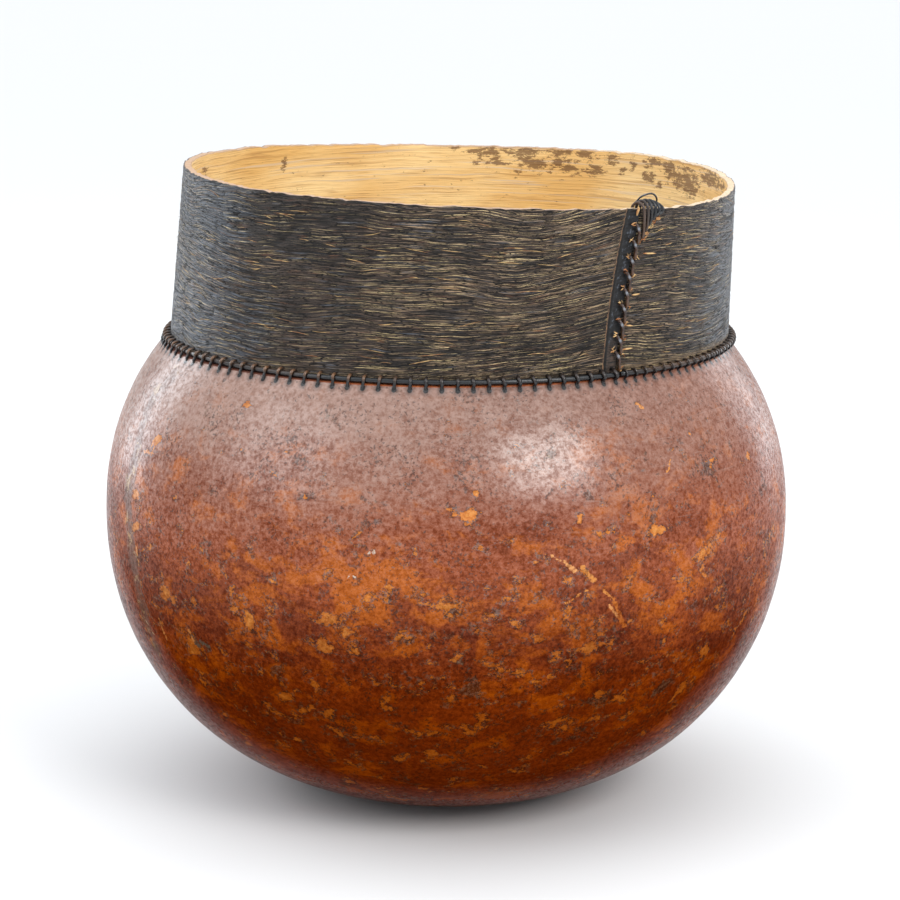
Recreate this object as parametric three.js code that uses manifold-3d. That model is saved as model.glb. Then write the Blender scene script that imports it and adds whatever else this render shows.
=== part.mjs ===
// A large dried bottle gourd, cut open above its belly and used as a bowl. A strip of bark bent
// into a hoop stands on the cut edge as a collar. A welt cord lies along the joint, one thread is
// whipped round it through both pieces, and the lapped ends of the strip are sewn together.
//
// Millimetres, +Z up. The origin is the middle of the flat spot that the gourd rests on.
// The seam side faces -Y. A bearing is in degrees, from -Y towards +X.
import * as THREE from 'three';
import { mergeGeometries, mergeVertices } from 'three/addons/utils/BufferGeometryUtils.js';
import Module from 'manifold-3d';

const wasm = await Module();
wasm.setup();

// Gourd: two superellipses that meet at the belly, the lower one closing on the flat spot
const BELLY_RADIUS = 180;
const BELLY_HEIGHT = 148.2;
const REST_RADIUS = 32.7;
const LOWER_POWER = 2.066;
const UPPER_DEPTH = 149.9;
const UPPER_POWER = 2.165;
const GOURD_WALL = 6.5;
const OUTER_STEPS = { lower: 9, upper: 4 };
const INNER_STEPS = { lower: 5, upper: 5 };

// Mouth: the cut across the gourd, a little out of level, rising towards +X
const MOUTH_HEIGHT = 240.2;
const MOUTH_SLOPE = 0.0104;

// Collar: it narrows and leans towards +X as it rises, and its rim was cut by eye
const COLLAR_REFERENCE_HEIGHT = 246;
const COLLAR_RISE = 80;
const COLLAR_BASE_RADIUS = 145.95;
const COLLAR_NARROWING = 2.65;
const COLLAR_BASE_OFFSET = 0.5;
const COLLAR_LEAN = 3.6;
const COLLAR_THICKNESS = 4.2;
const COLLAR_ROWS = 2;
const RIM_HEIGHT = 326.25;
const RIM_WAVES = [
  { cycles: 1, height: 2.9, phase: 98.5 },
  { cycles: 2, height: 1.27, phase: 111 },
  { cycles: 3, height: 1.01, phase: -9.6 },
];

// Seam: the strip's left end lies on top and is pared to a thin tongue; the right end runs under it
const SEAM_BEARING = 34;
const SEAM_SLANT = 1.5;
const SEAM_CURVE = 3.2;
const SEAM_STRAIGHT_REACH = 12;
const SEAM_FADE_REACH = 60;
const UNDERLAP = 7.4;
const TONGUE_WIDTH = 3.3;
const OVER_THICKNESS = 2.15;
const TONGUE_STEP = 0.7;
const TONGUE_STEP_WIDTH = 0.2;
const LAP_GAP = 0.35;
const PARED_END = { width: 1, depth: 0.5 };
const UNDER_STEP = { from: 0.25, to: 0.7 };
const OVER_STEP = { clearance: 1, width: 0.6 };
const PLAIN_MARGIN = { afterSeam: 3, beforeLap: 1 };

// Between two pieces that touch
const PIECE_GAP = 0.3;

// Cords: half of each section's width across the run, and half of its depth
const WELT_RADIUS = 1.25;
const WELT_RING_RADIUS = 147.75;
const WELT_OFFSET = 0.3;
const WELT_RISE = 2.05;
const WELT_START = 34.5;
const WELT_SWEEP = 359.4;
const WELT_STEPS = 66;
const WELT_SIDES = 6;
const THREAD = { width: 0.95, depth: 0.75 };
const SEAM_THREAD = { width: 0.75, depth: 0.75 };
const BINDING_THREAD = { width: 0.75, depth: 0.75 };

// Holes: left by awls with flat sides that taper to a point
const AWL_LENGTH = 48;
const AWL_BACK_OFF = 1.5;
const THREAD_AWL = { radius: 2.5, sides: 3 };
const SEAM_AWL = { radius: 1.65, sides: 4 };
const BINDING_AWL = { radius: 1.2, sides: 4 };

// Joint stitches: they start close together at the seam and open out on their way round
const STITCH_COUNT = 123;
const FIRST_STITCH = 35.6;
const STITCH_SWEEP = 357.7;
const STITCH_BUNCHING = 22.9;
const STITCH_DRIFT = 39;
const COLLAR_HOLE_RISE = 5;
const GOURD_HOLE_DROP = 2.3;
const THREAD_STAND_OFF = 1.2;
const THREAD_PAST_WELT = 2.6;
const THREAD_PAST_COLLAR = 3;
const THREAD_BEHIND_COLLAR = 1.4;
const THREAD_BEHIND_GOURD = 1.7;
const THREAD_INSIDE_EDGE = 1.6;
const THREAD_OVER_EDGE = 0.2;

// Seam stitches: slanted, each from a hole in the tongue down to a hole in the right-hand end
const SEAM_STITCHES = 9;
const SEAM_TOP_STITCH = 315.4;
const SEAM_PITCH = 7.7;
const SEAM_STITCH_DROP = 6.2;
const SEAM_LEFT_HOLE = -1;
const SEAM_RIGHT_HOLE = 0.7;

// Rim binding: a short coil over the rim at the top of the seam, and its loose end
const BINDING_TURNS = 6;
const BINDING_TOP_BEARING = 37.2;
const BINDING_TOP_PITCH = 1.12;
const BINDING_HOLE_BEARING = 39.1;
const BINDING_HOLE_PITCH = 0.98;
const BINDING_HOLE_HEIGHT = 311.5;
const BINDING_HOLE_CLIMB = 6.5;
const LOOSE_END = [
  // bearing, distance inside the collar's outer face, height over the rim
  [44.3, 6.2, -1.5],
  [44.9, 5.6, 2.6],
  [43.6, 4.6, 5.8],
  [41.6, 4.2, 7],
  [39.6, 4.6, 6],
  [38.2, 6, 3.6],
  [37.6, 7.6, 0.4],
];

const GOURD_COLOUR = 0x93421f;
const BARK_COLOUR = 0x2f2a26;
const CORD_COLOUR = 0x24262a;
const SEAM_THREAD_COLOUR = 0x3a281b;

const UP = new THREE.Vector3(0, 0, 1);
const DOWN = new THREE.Vector3(0, 0, -1);
const radians = THREE.MathUtils.degToRad;

function outward(bearing) {
  return new THREE.Vector3(Math.sin(radians(bearing)), -Math.cos(radians(bearing)), 0);
}

function sideways(bearing) {
  return new THREE.Vector3(Math.cos(radians(bearing)), Math.sin(radians(bearing)), 0);
}

function mouthHeight(point) {
  return MOUTH_HEIGHT + MOUTH_SLOPE * point.x;
}

function stitchBearing(stitch) {
  const share = stitch / (STITCH_COUNT - 1);
  const bow = share * (1 - share);
  return FIRST_STITCH + STITCH_SWEEP * share
    - STITCH_BUNCHING * bow - STITCH_DRIFT * bow * (1 - 2 * share);
}

// Lines up the gourd and the collar that pass between the stitches, two stitches apart
function meridians() {
  const bearings = [(stitchBearing(0) + stitchBearing(STITCH_COUNT - 1) - 360) / 2];
  for (let stitch = 1; stitch < STITCH_COUNT - 1; stitch += 2) {
    bearings.push((stitchBearing(stitch) + stitchBearing(stitch + 1)) / 2);
  }
  return bearings;
}

// The closed mesh that a cut works on, without its slivers
function meshData(geometry) {
  const bare = geometry.clone();
  bare.deleteAttribute('normal');
  bare.deleteAttribute('uv');
  const merged = mergeVertices(bare);
  const corners = merged.index.array;
  const kept = [];
  for (let i = 0; i < corners.length; i += 3) {
    const [a, b, c] = corners.slice(i, i + 3);
    if (a !== b && b !== c && c !== a) kept.push(a, b, c);
  }
  return { numProp: 3, vertProperties: merged.attributes.position.array, triVerts: new Uint32Array(kept) };
}

function cutAway(geometry, cutters) {
  const body = new wasm.Manifold(new wasm.Mesh(meshData(geometry)));
  const tool = new wasm.Manifold(new wasm.Mesh(meshData(mergeGeometries(cutters))));
  const result = body.subtract(tool).getMesh();
  const cut = new THREE.BufferGeometry();
  cut.setAttribute('position', new THREE.BufferAttribute(result.vertProperties, 3));
  cut.setIndex(new THREE.BufferAttribute(result.triVerts, 1));
  return cut;
}

// What an awl cuts away on its way in, one of its corners turned towards corner
function awlPoint({ inside, outside }, corner, { radius, sides }) {
  const inward = inside.clone().sub(outside).normalize();
  const toCorner = corner.clone().addScaledVector(inward, -corner.dot(inward)).normalize();
  const aside = inward.clone().cross(toCorner);
  return new THREE.ConeGeometry(radius, AWL_LENGTH, sides)
    .translate(0, AWL_LENGTH / 2 - AWL_BACK_OFF, 0)
    .applyMatrix4(new THREE.Matrix4().makeBasis(aside, inward, toCorner).setPosition(outside));
}

// A solid skinned over rings of points, each ring turning right-handed about the way forward
function loftSolid(rings) {
  const size = rings[0].length;
  const index = [];
  const quad = (a, b, c, d) => index.push(a, b, c, a, c, d);
  for (let i = 0; i + 1 < rings.length; i++) {
    for (let k = 0; k < size; k++) {
      const next = (k + 1) % size;
      quad(i * size + k, i * size + next, (i + 1) * size + next, (i + 1) * size + k);
    }
  }
  const last = (rings.length - 1) * size;
  for (let k = 0; k + 1 < size / 2; k++) {
    const mate = size - 1 - k;
    quad(k, mate, mate - 1, k + 1);
    quad(last + k, last + k + 1, last + mate - 1, last + mate);
  }
  const geometry = new THREE.BufferGeometry().setFromPoints(rings.flat());
  geometry.setIndex(index);
  return geometry;
}

// A cord along a path of { point, across }, mitred at each bend. across is the direction
// of the section's width there, and the depth lies square to it and to the path.
function cordSolid(path, section, sides = 4) {
  const rings = path.map(({ point, across }, i) => {
    const before = path[Math.max(i - 1, 0)].point;
    const after = path[Math.min(i + 1, path.length - 1)].point;
    const arriving = point.clone().sub(before).normalize();
    const leaving = after.clone().sub(point).normalize();
    const forward = arriving.clone().add(leaving).normalize();
    const width = across.clone().addScaledVector(forward, -across.dot(forward)).normalize();
    const depth = forward.clone().cross(width);
    const mitre = 1 / Math.max(forward.dot(arriving), forward.dot(leaving));
    return Array.from({ length: sides }, (_, k) => {
      const turn = (2 * Math.PI * k) / sides;
      return point.clone()
        .addScaledVector(width, section.width * Math.cos(turn))
        .addScaledVector(depth, section.depth * mitre * Math.sin(turn));
    });
  });
  return loftSolid(rings);
}

// Gourd

// One side of the wall from the flat spot up to the cut: inset 0 is the outside
function wallCurve(inset, mouth, steps) {
  const radius = BELLY_RADIUS - inset;
  const lowerDepth = BELLY_HEIGHT - inset;
  const upperDepth = UPPER_DEPTH - inset;
  const points = [];
  for (let i = 0; i <= steps.lower; i++) {
    const turn = radians((90 * i) / steps.lower);
    points.push(new THREE.Vector2(
      REST_RADIUS + (radius - REST_RADIUS) * Math.sin(turn) ** (2 / LOWER_POWER),
      BELLY_HEIGHT - lowerDepth * Math.cos(turn) ** (2 / LOWER_POWER),
    ));
  }
  const cutTurn = Math.asin(((mouth - BELLY_HEIGHT) / upperDepth) ** (UPPER_POWER / 2));
  for (let i = 1; i <= steps.upper; i++) {
    const turn = (cutTurn * i) / steps.upper;
    points.push(new THREE.Vector2(
      radius * Math.cos(turn) ** (2 / UPPER_POWER),
      BELLY_HEIGHT + upperDepth * Math.sin(turn) ** (2 / UPPER_POWER),
    ));
  }
  return points;
}

function bowlProfile(mouth) {
  const outside = wallCurve(0, mouth, OUTER_STEPS);
  const inside = wallCurve(GOURD_WALL, mouth, INNER_STEPS).reverse();
  return [new THREE.Vector2(0, 0), ...outside, ...inside, new THREE.Vector2(0, GOURD_WALL)];
}

// The wall above the belly at a height: a point on that side of it and the way out from it
function wallAt(bearing, height, inset) {
  const share = (height - BELLY_HEIGHT) / (UPPER_DEPTH - inset);
  const radius = (BELLY_RADIUS - inset) * (1 - share ** UPPER_POWER) ** (1 / UPPER_POWER);
  const rise = share ** (UPPER_POWER - 1) / (UPPER_DEPTH - inset);
  const spread = (radius / (BELLY_RADIUS - inset)) ** (UPPER_POWER - 1) / (BELLY_RADIUS - inset);
  return {
    point: outward(bearing).multiplyScalar(radius).setZ(height),
    normal: outward(bearing).multiplyScalar(spread).setZ(rise).normalize(),
  };
}

// A lathe turning whose meridians are then drawn again, each up to its own height at the cut
function gourdGeometry(holes) {
  const bearings = meridians();
  const bowl = new THREE.LatheGeometry(bowlProfile(MOUTH_HEIGHT), bearings.length);
  const position = bowl.attributes.position;
  for (let i = 0; i <= bearings.length; i++) {
    const way = outward(bearings[i % bearings.length]);
    const profile = bowlProfile(mouthHeight(way.clone().multiplyScalar(WELT_RING_RADIUS)));
    profile.forEach(({ x, y }, j) => {
      position.setXYZ(i * profile.length + j, way.x * x, way.y * x, y);
    });
  }
  return cutAway(bowl, holes);
}

// Bark collar

function seamBearing(height) {
  const climb = (height - COLLAR_REFERENCE_HEIGHT) / COLLAR_RISE;
  return SEAM_BEARING + SEAM_SLANT * climb + SEAM_CURVE * climb ** 2;
}

function collarPoint(bearing, height, inset) {
  const climb = (height - COLLAR_REFERENCE_HEIGHT) / COLLAR_RISE;
  const point = outward(bearing)
    .multiplyScalar(COLLAR_BASE_RADIUS - COLLAR_NARROWING * climb - inset).setZ(height);
  point.x += COLLAR_BASE_OFFSET + COLLAR_LEAN * climb;
  return point;
}

function rimHeight(bearing) {
  return RIM_WAVES.reduce((height, wave) => (
    height + wave.height * Math.cos(radians(wave.cycles * bearing + wave.phase))
  ), RIM_HEIGHT);
}

// Places along the strip, in degrees from the tongue's edge, with how far its outer and inner
// faces lie inside the collar's outer surface
function stripSections() {
  const under = OVER_THICKNESS + LAP_GAP;
  const full = COLLAR_THICKNESS;
  const sections = [
    { along: -UNDERLAP, outer: under + PARED_END.depth, inner: full },
    { along: PARED_END.width - UNDERLAP, outer: under, inner: full },
    { along: -TONGUE_WIDTH, outer: under, inner: full },
    { along: UNDER_STEP.from, outer: under, inner: full },
    { along: UNDER_STEP.to, outer: 0, inner: full },
  ];
  const lap = 360 - UNDERLAP - OVER_STEP.clearance;
  const tongue = 360 - TONGUE_WIDTH;
  meridians().map((bearing) => bearing - SEAM_BEARING)
    .filter((along) => along > PLAIN_MARGIN.afterSeam && along < lap - PLAIN_MARGIN.beforeLap)
    .forEach((along) => sections.push({ along, outer: 0, inner: full }));
  sections.push(
    { along: lap, outer: 0, inner: full },
    { along: lap + OVER_STEP.width, outer: 0, inner: OVER_THICKNESS },
    { along: tongue, outer: 0, inner: OVER_THICKNESS },
    { along: tongue + TONGUE_STEP_WIDTH, outer: TONGUE_STEP, inner: OVER_THICKNESS },
    { along: 360, outer: TONGUE_STEP, inner: OVER_THICKNESS },
  );
  return sections;
}

function collarGeometry(holes) {
  const rings = stripSections().map(({ along, outer, inner }) => {
    const reach = Math.min(Math.abs(along), Math.abs(360 - along));
    const follow = 1 - THREE.MathUtils.smoothstep(reach, SEAM_STRAIGHT_REACH, SEAM_FADE_REACH);
    const flat = SEAM_BEARING + along;
    const foot = mouthHeight(collarPoint(flat, MOUTH_HEIGHT, 0)) + PIECE_GAP;
    const faceAt = (row, inset) => {
      const height = THREE.MathUtils.lerp(foot, rimHeight(flat), row / COLLAR_ROWS);
      return collarPoint(flat + follow * (seamBearing(height) - SEAM_BEARING), height, inset);
    };
    const rows = Array.from({ length: COLLAR_ROWS + 1 }, (_, row) => row);
    return [
      ...rows.map((row) => faceAt(COLLAR_ROWS - row, outer)),
      ...rows.map((row) => faceAt(row, inner)),
    ];
  });
  return cutAway(loftSolid(rings), holes);
}

// Welt cord: its two ends meet under the seam

function weltPoint(bearing, standOff) {
  const point = outward(bearing).multiplyScalar(WELT_RING_RADIUS + standOff);
  point.x += WELT_OFFSET;
  return point.setZ(mouthHeight(point) + WELT_RISE);
}

function weltGeometry() {
  const path = [];
  for (let i = 0; i <= WELT_STEPS; i++) {
    path.push({ point: weltPoint(WELT_START + (WELT_SWEEP * i) / WELT_STEPS, 0), across: UP });
  }
  return cordSolid(path, { width: WELT_RADIUS, depth: WELT_RADIUS }, WELT_SIDES);
}

// Joint lacing: one thread round and round the joint, out through the collar, over the welt
// cord, in through the gourd and back up inside

function collarHole(bearing) {
  const height = mouthHeight(collarPoint(bearing, MOUTH_HEIGHT, 0)) + COLLAR_HOLE_RISE;
  return {
    inside: collarPoint(bearing, height, COLLAR_THICKNESS + THREAD_BEHIND_COLLAR),
    outside: collarPoint(bearing, height, -THREAD_PAST_COLLAR),
  };
}

function gourdHole(bearing) {
  const mouth = mouthHeight(outward(bearing).multiplyScalar(WELT_RING_RADIUS));
  const { point, normal } = wallAt(bearing, mouth - GOURD_HOLE_DROP, 0);
  return {
    outside: point.clone().addScaledVector(normal, THREAD_STAND_OFF),
    inside: point.clone().addScaledVector(normal, -GOURD_WALL - THREAD_BEHIND_GOURD),
  };
}

function roundInnerEdge(bearing) {
  const mouth = mouthHeight(outward(bearing).multiplyScalar(WELT_RING_RADIUS));
  const { point } = wallAt(bearing, mouth, GOURD_WALL);
  return point.addScaledVector(outward(bearing), -THREAD_INSIDE_EDGE).setZ(mouth + THREAD_OVER_EDGE);
}

function jointLacingGeometry() {
  const path = [];
  for (let stitch = 0; stitch < STITCH_COUNT; stitch++) {
    const bearing = stitchBearing(stitch);
    const across = sideways(bearing);
    const upper = collarHole(bearing);
    const lower = gourdHole(bearing);
    const onwards = (stitchBearing(stitch + 1) - bearing) / 2;
    path.push(
      { point: upper.inside, across },
      { point: upper.outside, across },
      { point: weltPoint(bearing, THREAD_PAST_WELT), across },
      { point: lower.outside, across },
      { point: lower.inside, across },
      { point: roundInnerEdge(bearing + onwards), across: sideways(bearing + onwards) },
    );
  }
  return cordSolid(path, THREAD);
}

// Three-cornered holes, one corner pointing away from the joint
function jointHoles(holeAt, corner) {
  return Array.from({ length: STITCH_COUNT }, (_, stitch) => (
    awlPoint(holeAt(stitchBearing(stitch)), corner, THREAD_AWL)
  ));
}

// Seam lacing

function seamStitch(stitch) {
  const top = SEAM_TOP_STITCH - SEAM_PITCH * stitch;
  const side = (height, offset) => {
    const bearing = seamBearing(height) + offset;
    return {
      inside: collarPoint(bearing, height, COLLAR_THICKNESS + THREAD_STAND_OFF),
      outside: collarPoint(bearing, height, -THREAD_STAND_OFF),
    };
  };
  return { left: side(top, SEAM_LEFT_HOLE), right: side(top - SEAM_STITCH_DROP, SEAM_RIGHT_HOLE) };
}

function seamLacingGeometry() {
  const way = outward(SEAM_BEARING);
  const path = [];
  for (let stitch = 0; stitch < SEAM_STITCHES; stitch++) {
    const { left, right } = seamStitch(stitch);
    const next = seamStitch(stitch + 1).left;
    const slope = way.clone().cross(right.outside.clone().sub(left.outside)).normalize();
    const back = way.clone().cross(right.inside.clone().sub(next.inside)).normalize();
    path.push(
      { point: left.inside, across: back },
      { point: left.outside, across: slope },
      { point: right.outside, across: slope },
      { point: right.inside, across: back },
    );
  }
  return cordSolid(path, SEAM_THREAD);
}

function seamHoles() {
  return Array.from({ length: SEAM_STITCHES }, (_, stitch) => seamStitch(stitch))
    .flatMap(({ left, right }) => [left, right])
    .map((hole) => awlPoint(hole, UP, SEAM_AWL));
}

// Rim binding

function bindingHole(turn) {
  const bearing = BINDING_HOLE_BEARING + BINDING_HOLE_PITCH * turn;
  const share = turn / (BINDING_TURNS - 1);
  const height = BINDING_HOLE_HEIGHT + BINDING_HOLE_CLIMB * Math.sin(radians(90 * share));
  return {
    inside: collarPoint(bearing, height, COLLAR_THICKNESS + THREAD_STAND_OFF),
    outside: collarPoint(bearing, height, -THREAD_STAND_OFF),
  };
}

function rimBindingGeometry() {
  const across = sideways(BINDING_HOLE_BEARING);
  const path = [];
  for (let turn = 0; turn < BINDING_TURNS; turn++) {
    const { inside, outside } = bindingHole(turn);
    const bearing = BINDING_TOP_BEARING + BINDING_TOP_PITCH * turn;
    const top = rimHeight(bearing) + THREAD_STAND_OFF;
    path.push(
      { point: inside, across },
      { point: outside, across },
      { point: collarPoint(bearing, top, -THREAD_STAND_OFF), across },
      { point: collarPoint(bearing, top, COLLAR_THICKNESS + THREAD_STAND_OFF), across },
    );
  }
  for (const [bearing, inset, height] of LOOSE_END) {
    path.push({ point: collarPoint(bearing, rimHeight(bearing) + height, inset), across: outward(bearing) });
  }
  return cordSolid(path, BINDING_THREAD);
}

function bindingHoles() {
  return Array.from({ length: BINDING_TURNS }, (_, turn) => (
    awlPoint(bindingHole(turn), UP, BINDING_AWL)
  ));
}

// Assembly

function piece(name, geometry, color, roughness) {
  geometry.computeVertexNormals();
  const mesh = new THREE.Mesh(geometry, new THREE.MeshStandardMaterial({ color, roughness, metalness: 0 }));
  mesh.name = name;
  return mesh;
}

const vessel = new THREE.Group();
vessel.add(
  piece('gourd_bowl', gourdGeometry(jointHoles(gourdHole, DOWN)), GOURD_COLOUR, 0.42),
  piece('bark_collar', collarGeometry([
    ...jointHoles(collarHole, UP),
    ...seamHoles(),
    ...bindingHoles(),
  ]), BARK_COLOUR, 0.75),
  piece('welt_cord', weltGeometry(), CORD_COLOUR, 0.5),
  piece('joint_lacing', jointLacingGeometry(), CORD_COLOUR, 0.5),
  piece('seam_lacing', seamLacingGeometry(), SEAM_THREAD_COLOUR, 0.45),
  piece('rim_binding', rimBindingGeometry(), CORD_COLOUR, 0.5),
);

export default vessel;
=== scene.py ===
# A large dried bottle gourd, cut open and used as a bowl, with a collar of bark laced to its mouth.
# Metres, +Z up. A bearing is in degrees from -Y (the side that faces the camera) towards +X.
import itertools
import math

import bpy
import numpy as np
from mathutils import Matrix, Vector


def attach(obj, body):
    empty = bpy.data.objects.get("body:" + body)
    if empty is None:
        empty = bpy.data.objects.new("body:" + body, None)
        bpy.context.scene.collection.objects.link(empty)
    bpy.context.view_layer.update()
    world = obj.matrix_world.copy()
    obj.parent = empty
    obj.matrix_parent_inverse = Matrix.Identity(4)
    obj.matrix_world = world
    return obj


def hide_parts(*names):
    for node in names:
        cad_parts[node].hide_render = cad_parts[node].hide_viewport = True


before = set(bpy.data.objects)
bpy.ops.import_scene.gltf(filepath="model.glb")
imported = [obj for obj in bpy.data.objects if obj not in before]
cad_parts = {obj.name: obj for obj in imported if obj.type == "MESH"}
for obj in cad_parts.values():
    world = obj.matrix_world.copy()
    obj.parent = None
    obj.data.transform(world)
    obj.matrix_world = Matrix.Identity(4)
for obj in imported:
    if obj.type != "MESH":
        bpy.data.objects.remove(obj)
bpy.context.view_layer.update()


# Shapes

# The point at a bearing, a distance out from the vessel's middle line and a height
def placeAt(bearing, radius, height):
    turn = np.radians(bearing)
    return np.stack(np.broadcast_arrays(radius * np.sin(turn), -radius * np.cos(turn), height), axis=-1)


# Eases from 0 to 1 as a value goes from low to high
def easeBetween(value, low, high):
    share = np.clip((value - low) / (high - low), 0, 1)
    return share * share * (3 - 2 * share)


# Smooth noise from -1 to 1: a random value at each whole-number corner, eased between corners
def softNoise(places, seed):
    places = np.asarray(places, dtype=float)
    cell = np.floor(places).astype(np.int64)
    part = places - cell
    ease = part * part * (3 - 2 * part)
    total = np.zeros(places.shape[:-1])
    for corner in itertools.product((0, 1), repeat=places.shape[-1]):
        spot = cell + np.array(corner)
        mixed = np.full(total.shape, seed * 2654435761, dtype=np.int64)
        for axis in range(places.shape[-1]):
            mixed = (mixed ^ (spot[..., axis] * 73856093)) * 1274126177
            mixed = (mixed ^ (mixed >> 15)) & 0xFFFFFFFF
        weight = np.prod(np.where(np.array(corner) == 1, ease, 1 - ease), axis=-1)
        total += weight * (mixed / 0x7FFFFFFF - 1)
    return total


# Soft noise over two values, either of which may be 0 throughout
def flatNoise(first, second, seed):
    return softNoise(np.stack(np.broadcast_arrays(first, second), axis=-1), seed)


# Several layers of soft noise, each half as wide and half as strong as the one before
def layeredNoise(places, seed, layers):
    return sum(softNoise(places * 2 ** layer, seed + layer) / 2 ** layer for layer in range(layers))


# 1 where a value is at the middle, fading to either side over about width
def peakAt(value, middle, width):
    return np.exp(-((value - middle) / width) ** 2)


# Turns of the points of a ring, in radians
def ringTurns(sides):
    return 2 * np.pi * np.arange(sides) / sides


# A bearing brought between -180 and 180
def wrapped(bearing):
    return (bearing + 180) % 360 - 180


# Four-cornered faces over a grid of points, row after row, closing on itself either way round
def gridFaces(rows, columns, closedRows=False, closedColumns=False):
    row, column = np.meshgrid(
        np.arange(rows if closedRows else rows - 1),
        np.arange(columns if closedColumns else columns - 1),
        indexing="ij",
    )
    row, column = row.ravel(), column.ravel()
    above, beside = (row + 1) % rows, (column + 1) % columns
    return np.stack([
        row * columns + column, row * columns + beside,
        above * columns + beside, above * columns + column,
    ], axis=1)


# Triangles between two lines of points with different counts, each step taken on the longer line
def zipFaces(longLine, shortLine):
    partner = np.round(np.linspace(0, len(shortLine) - 1, len(longLine))).astype(int)
    here, there = longLine[:-1], longLine[1:]
    near, far = shortLine[partner[:-1]], shortLine[partner[1:]]
    moved = near != far
    return np.stack([here, there, near], axis=1).tolist() \
        + np.stack([there[moved], far[moved], near[moved]], axis=1).tolist()


# A smooth line through points, each stretch between two of them in the same number of steps
def smoothPath(points, steps):
    points = np.asarray(points, dtype=float)
    padded = np.concatenate([[2 * points[0] - points[1]], points, [2 * points[-1] - points[-2]]])
    windows = np.stack([padded[k:len(padded) - 3 + k] for k in range(4)], axis=1)
    t = (np.arange(steps) / steps)[:, None]
    weights = 0.5 * np.hstack([
        -t + 2 * t ** 2 - t ** 3, 2 - 5 * t ** 2 + 3 * t ** 3,
        t + 4 * t ** 2 - 3 * t ** 3, -t ** 2 + t ** 3,
    ])
    inner = np.einsum("sk,nkd->nsd", weights, windows).reshape(-1, points.shape[-1])
    return np.concatenate([inner, points[-1:]])


# Rings of a round thread along a path: its width lies along across, its depth square to that
def threadRings(path, across, width, depth, sides):
    forward = np.gradient(path, axis=0)
    forward /= np.linalg.norm(forward, axis=1, keepdims=True)
    across = across - forward * np.sum(across * forward, axis=1, keepdims=True)
    across /= np.linalg.norm(across, axis=1, keepdims=True)
    deep = np.cross(forward, across)
    turn = ringTurns(sides)
    width, depth = np.broadcast_to(width, len(path)), np.broadcast_to(depth, len(path))
    return path[:, None] + across[:, None] * (width[:, None] * np.cos(turn))[..., None] \
        + deep[:, None] * (depth[:, None] * np.sin(turn))[..., None]


# Faces over a thread's rings, with both ends closed
def threadFaces(rings, sides):
    last = (rings - 1) * sides
    ends = [list(range(sides - 1, -1, -1)), list(range(last, last + sides))]
    return gridFaces(rings, sides, closedColumns=True).tolist() + ends


# A mesh object at the origin. looks gives each face's place in materials, cornerUv two numbers
# for each corner of the leading faces, and marks a number for each point under a name.
def makePiece(name, points, faces, materials, looks=None, cornerUv=None, marks=None, smooth=True):
    mesh = bpy.data.meshes.new(name)
    mesh.from_pydata(np.asarray(points).reshape(-1, 3).tolist(), [], faces)
    for material in materials:
        mesh.materials.append(material)
    if looks is not None:
        mesh.polygons.foreach_set("material_index", np.asarray(looks, dtype=np.int32))
    if cornerUv is not None:
        flat = np.zeros((len(mesh.loops), 2), dtype=np.float32)
        flat[:len(cornerUv)] = cornerUv
        mesh.uv_layers.new(name="surface").data.foreach_set("uv", flat.ravel())
    for key, values in (marks or {}).items():
        layer = mesh.attributes.new(key, "FLOAT", "POINT")
        layer.data.foreach_set("value", np.asarray(values, dtype=np.float32).ravel())
    mesh.polygons.foreach_set("use_smooth", np.full(len(mesh.polygons), smooth))
    mesh.update()
    piece = bpy.data.objects.new(name, mesh)
    bpy.context.scene.collection.objects.link(piece)
    return piece


# Node building: each new node goes into the tree that was opened last

building = {"tree": None}


# A node's output that can stand in a sum: each sign makes a Math node
class Value:
    def __init__(self, socket):
        self.socket = socket

    def __add__(self, other):
        return maths("ADD", self, other)

    def __sub__(self, other):
        return maths("SUBTRACT", self, other)

    def __rsub__(self, other):
        return maths("SUBTRACT", other, self)

    def __mul__(self, other):
        return maths("MULTIPLY", self, other)

    def __truediv__(self, other):
        return maths("DIVIDE", self, other)


# A new node, whose outputs are read by name or place
class Made:
    def __init__(self, node):
        self.node = node

    def __getitem__(self, key):
        return Value(self.node.outputs[key])


def link(value, socket):
    building["tree"].links.new(value.socket, socket)


# inputs gives sockets by name or place, each a number, a colour or another node's output
def addNode(kind, inputs=None, **settings):
    node = building["tree"].nodes.new(kind)
    for key, value in settings.items():
        setattr(node, key, value)
    for key, value in (inputs or {}).items():
        if isinstance(value, Value):
            link(value, node.inputs[key])
        else:
            node.inputs[key].default_value = value
    return Made(node)


def maths(operation, first, second=0.0, clamp=False):
    return addNode("ShaderNodeMath", {0: first, 1: second}, operation=operation, use_clamp=clamp)[0]


def vectorMaths(operation, first, second=(0, 0, 0), output=0):
    return addNode("ShaderNodeVectorMath", {0: first, 1: second}, operation=operation)[output]


def scaled(vector, size):
    return addNode("ShaderNodeVectorMath", {0: vector, "Scale": size}, operation="SCALE")[0]


# 0 below low and 1 above high, or the other way round where low is the larger
def band(value, low, high, bottom=0.0, top=1.0):
    return addNode("ShaderNodeMapRange", {
        "Value": value, "From Min": low, "From Max": high, "To Min": bottom, "To Max": top,
    }, interpolation_type="SMOOTHSTEP")["Result"]


def mixColour(share, first, second, way="MIX"):
    return addNode("ShaderNodeMix", {0: share, 6: first, 7: second}, data_type="RGBA", blend_type=way)[2]


def mixNumber(share, first, second):
    return addNode("ShaderNodeMix", {0: share, 2: first, 3: second}, data_type="FLOAT")[0]


def noise(vector, scale, detail=2.0, roughness=0.5, distortion=0.0, output="Fac"):
    return addNode("ShaderNodeTexNoise", {
        "Vector": vector, "Scale": scale, "Detail": detail, "Roughness": roughness, "Distortion": distortion,
    })[output]


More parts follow.
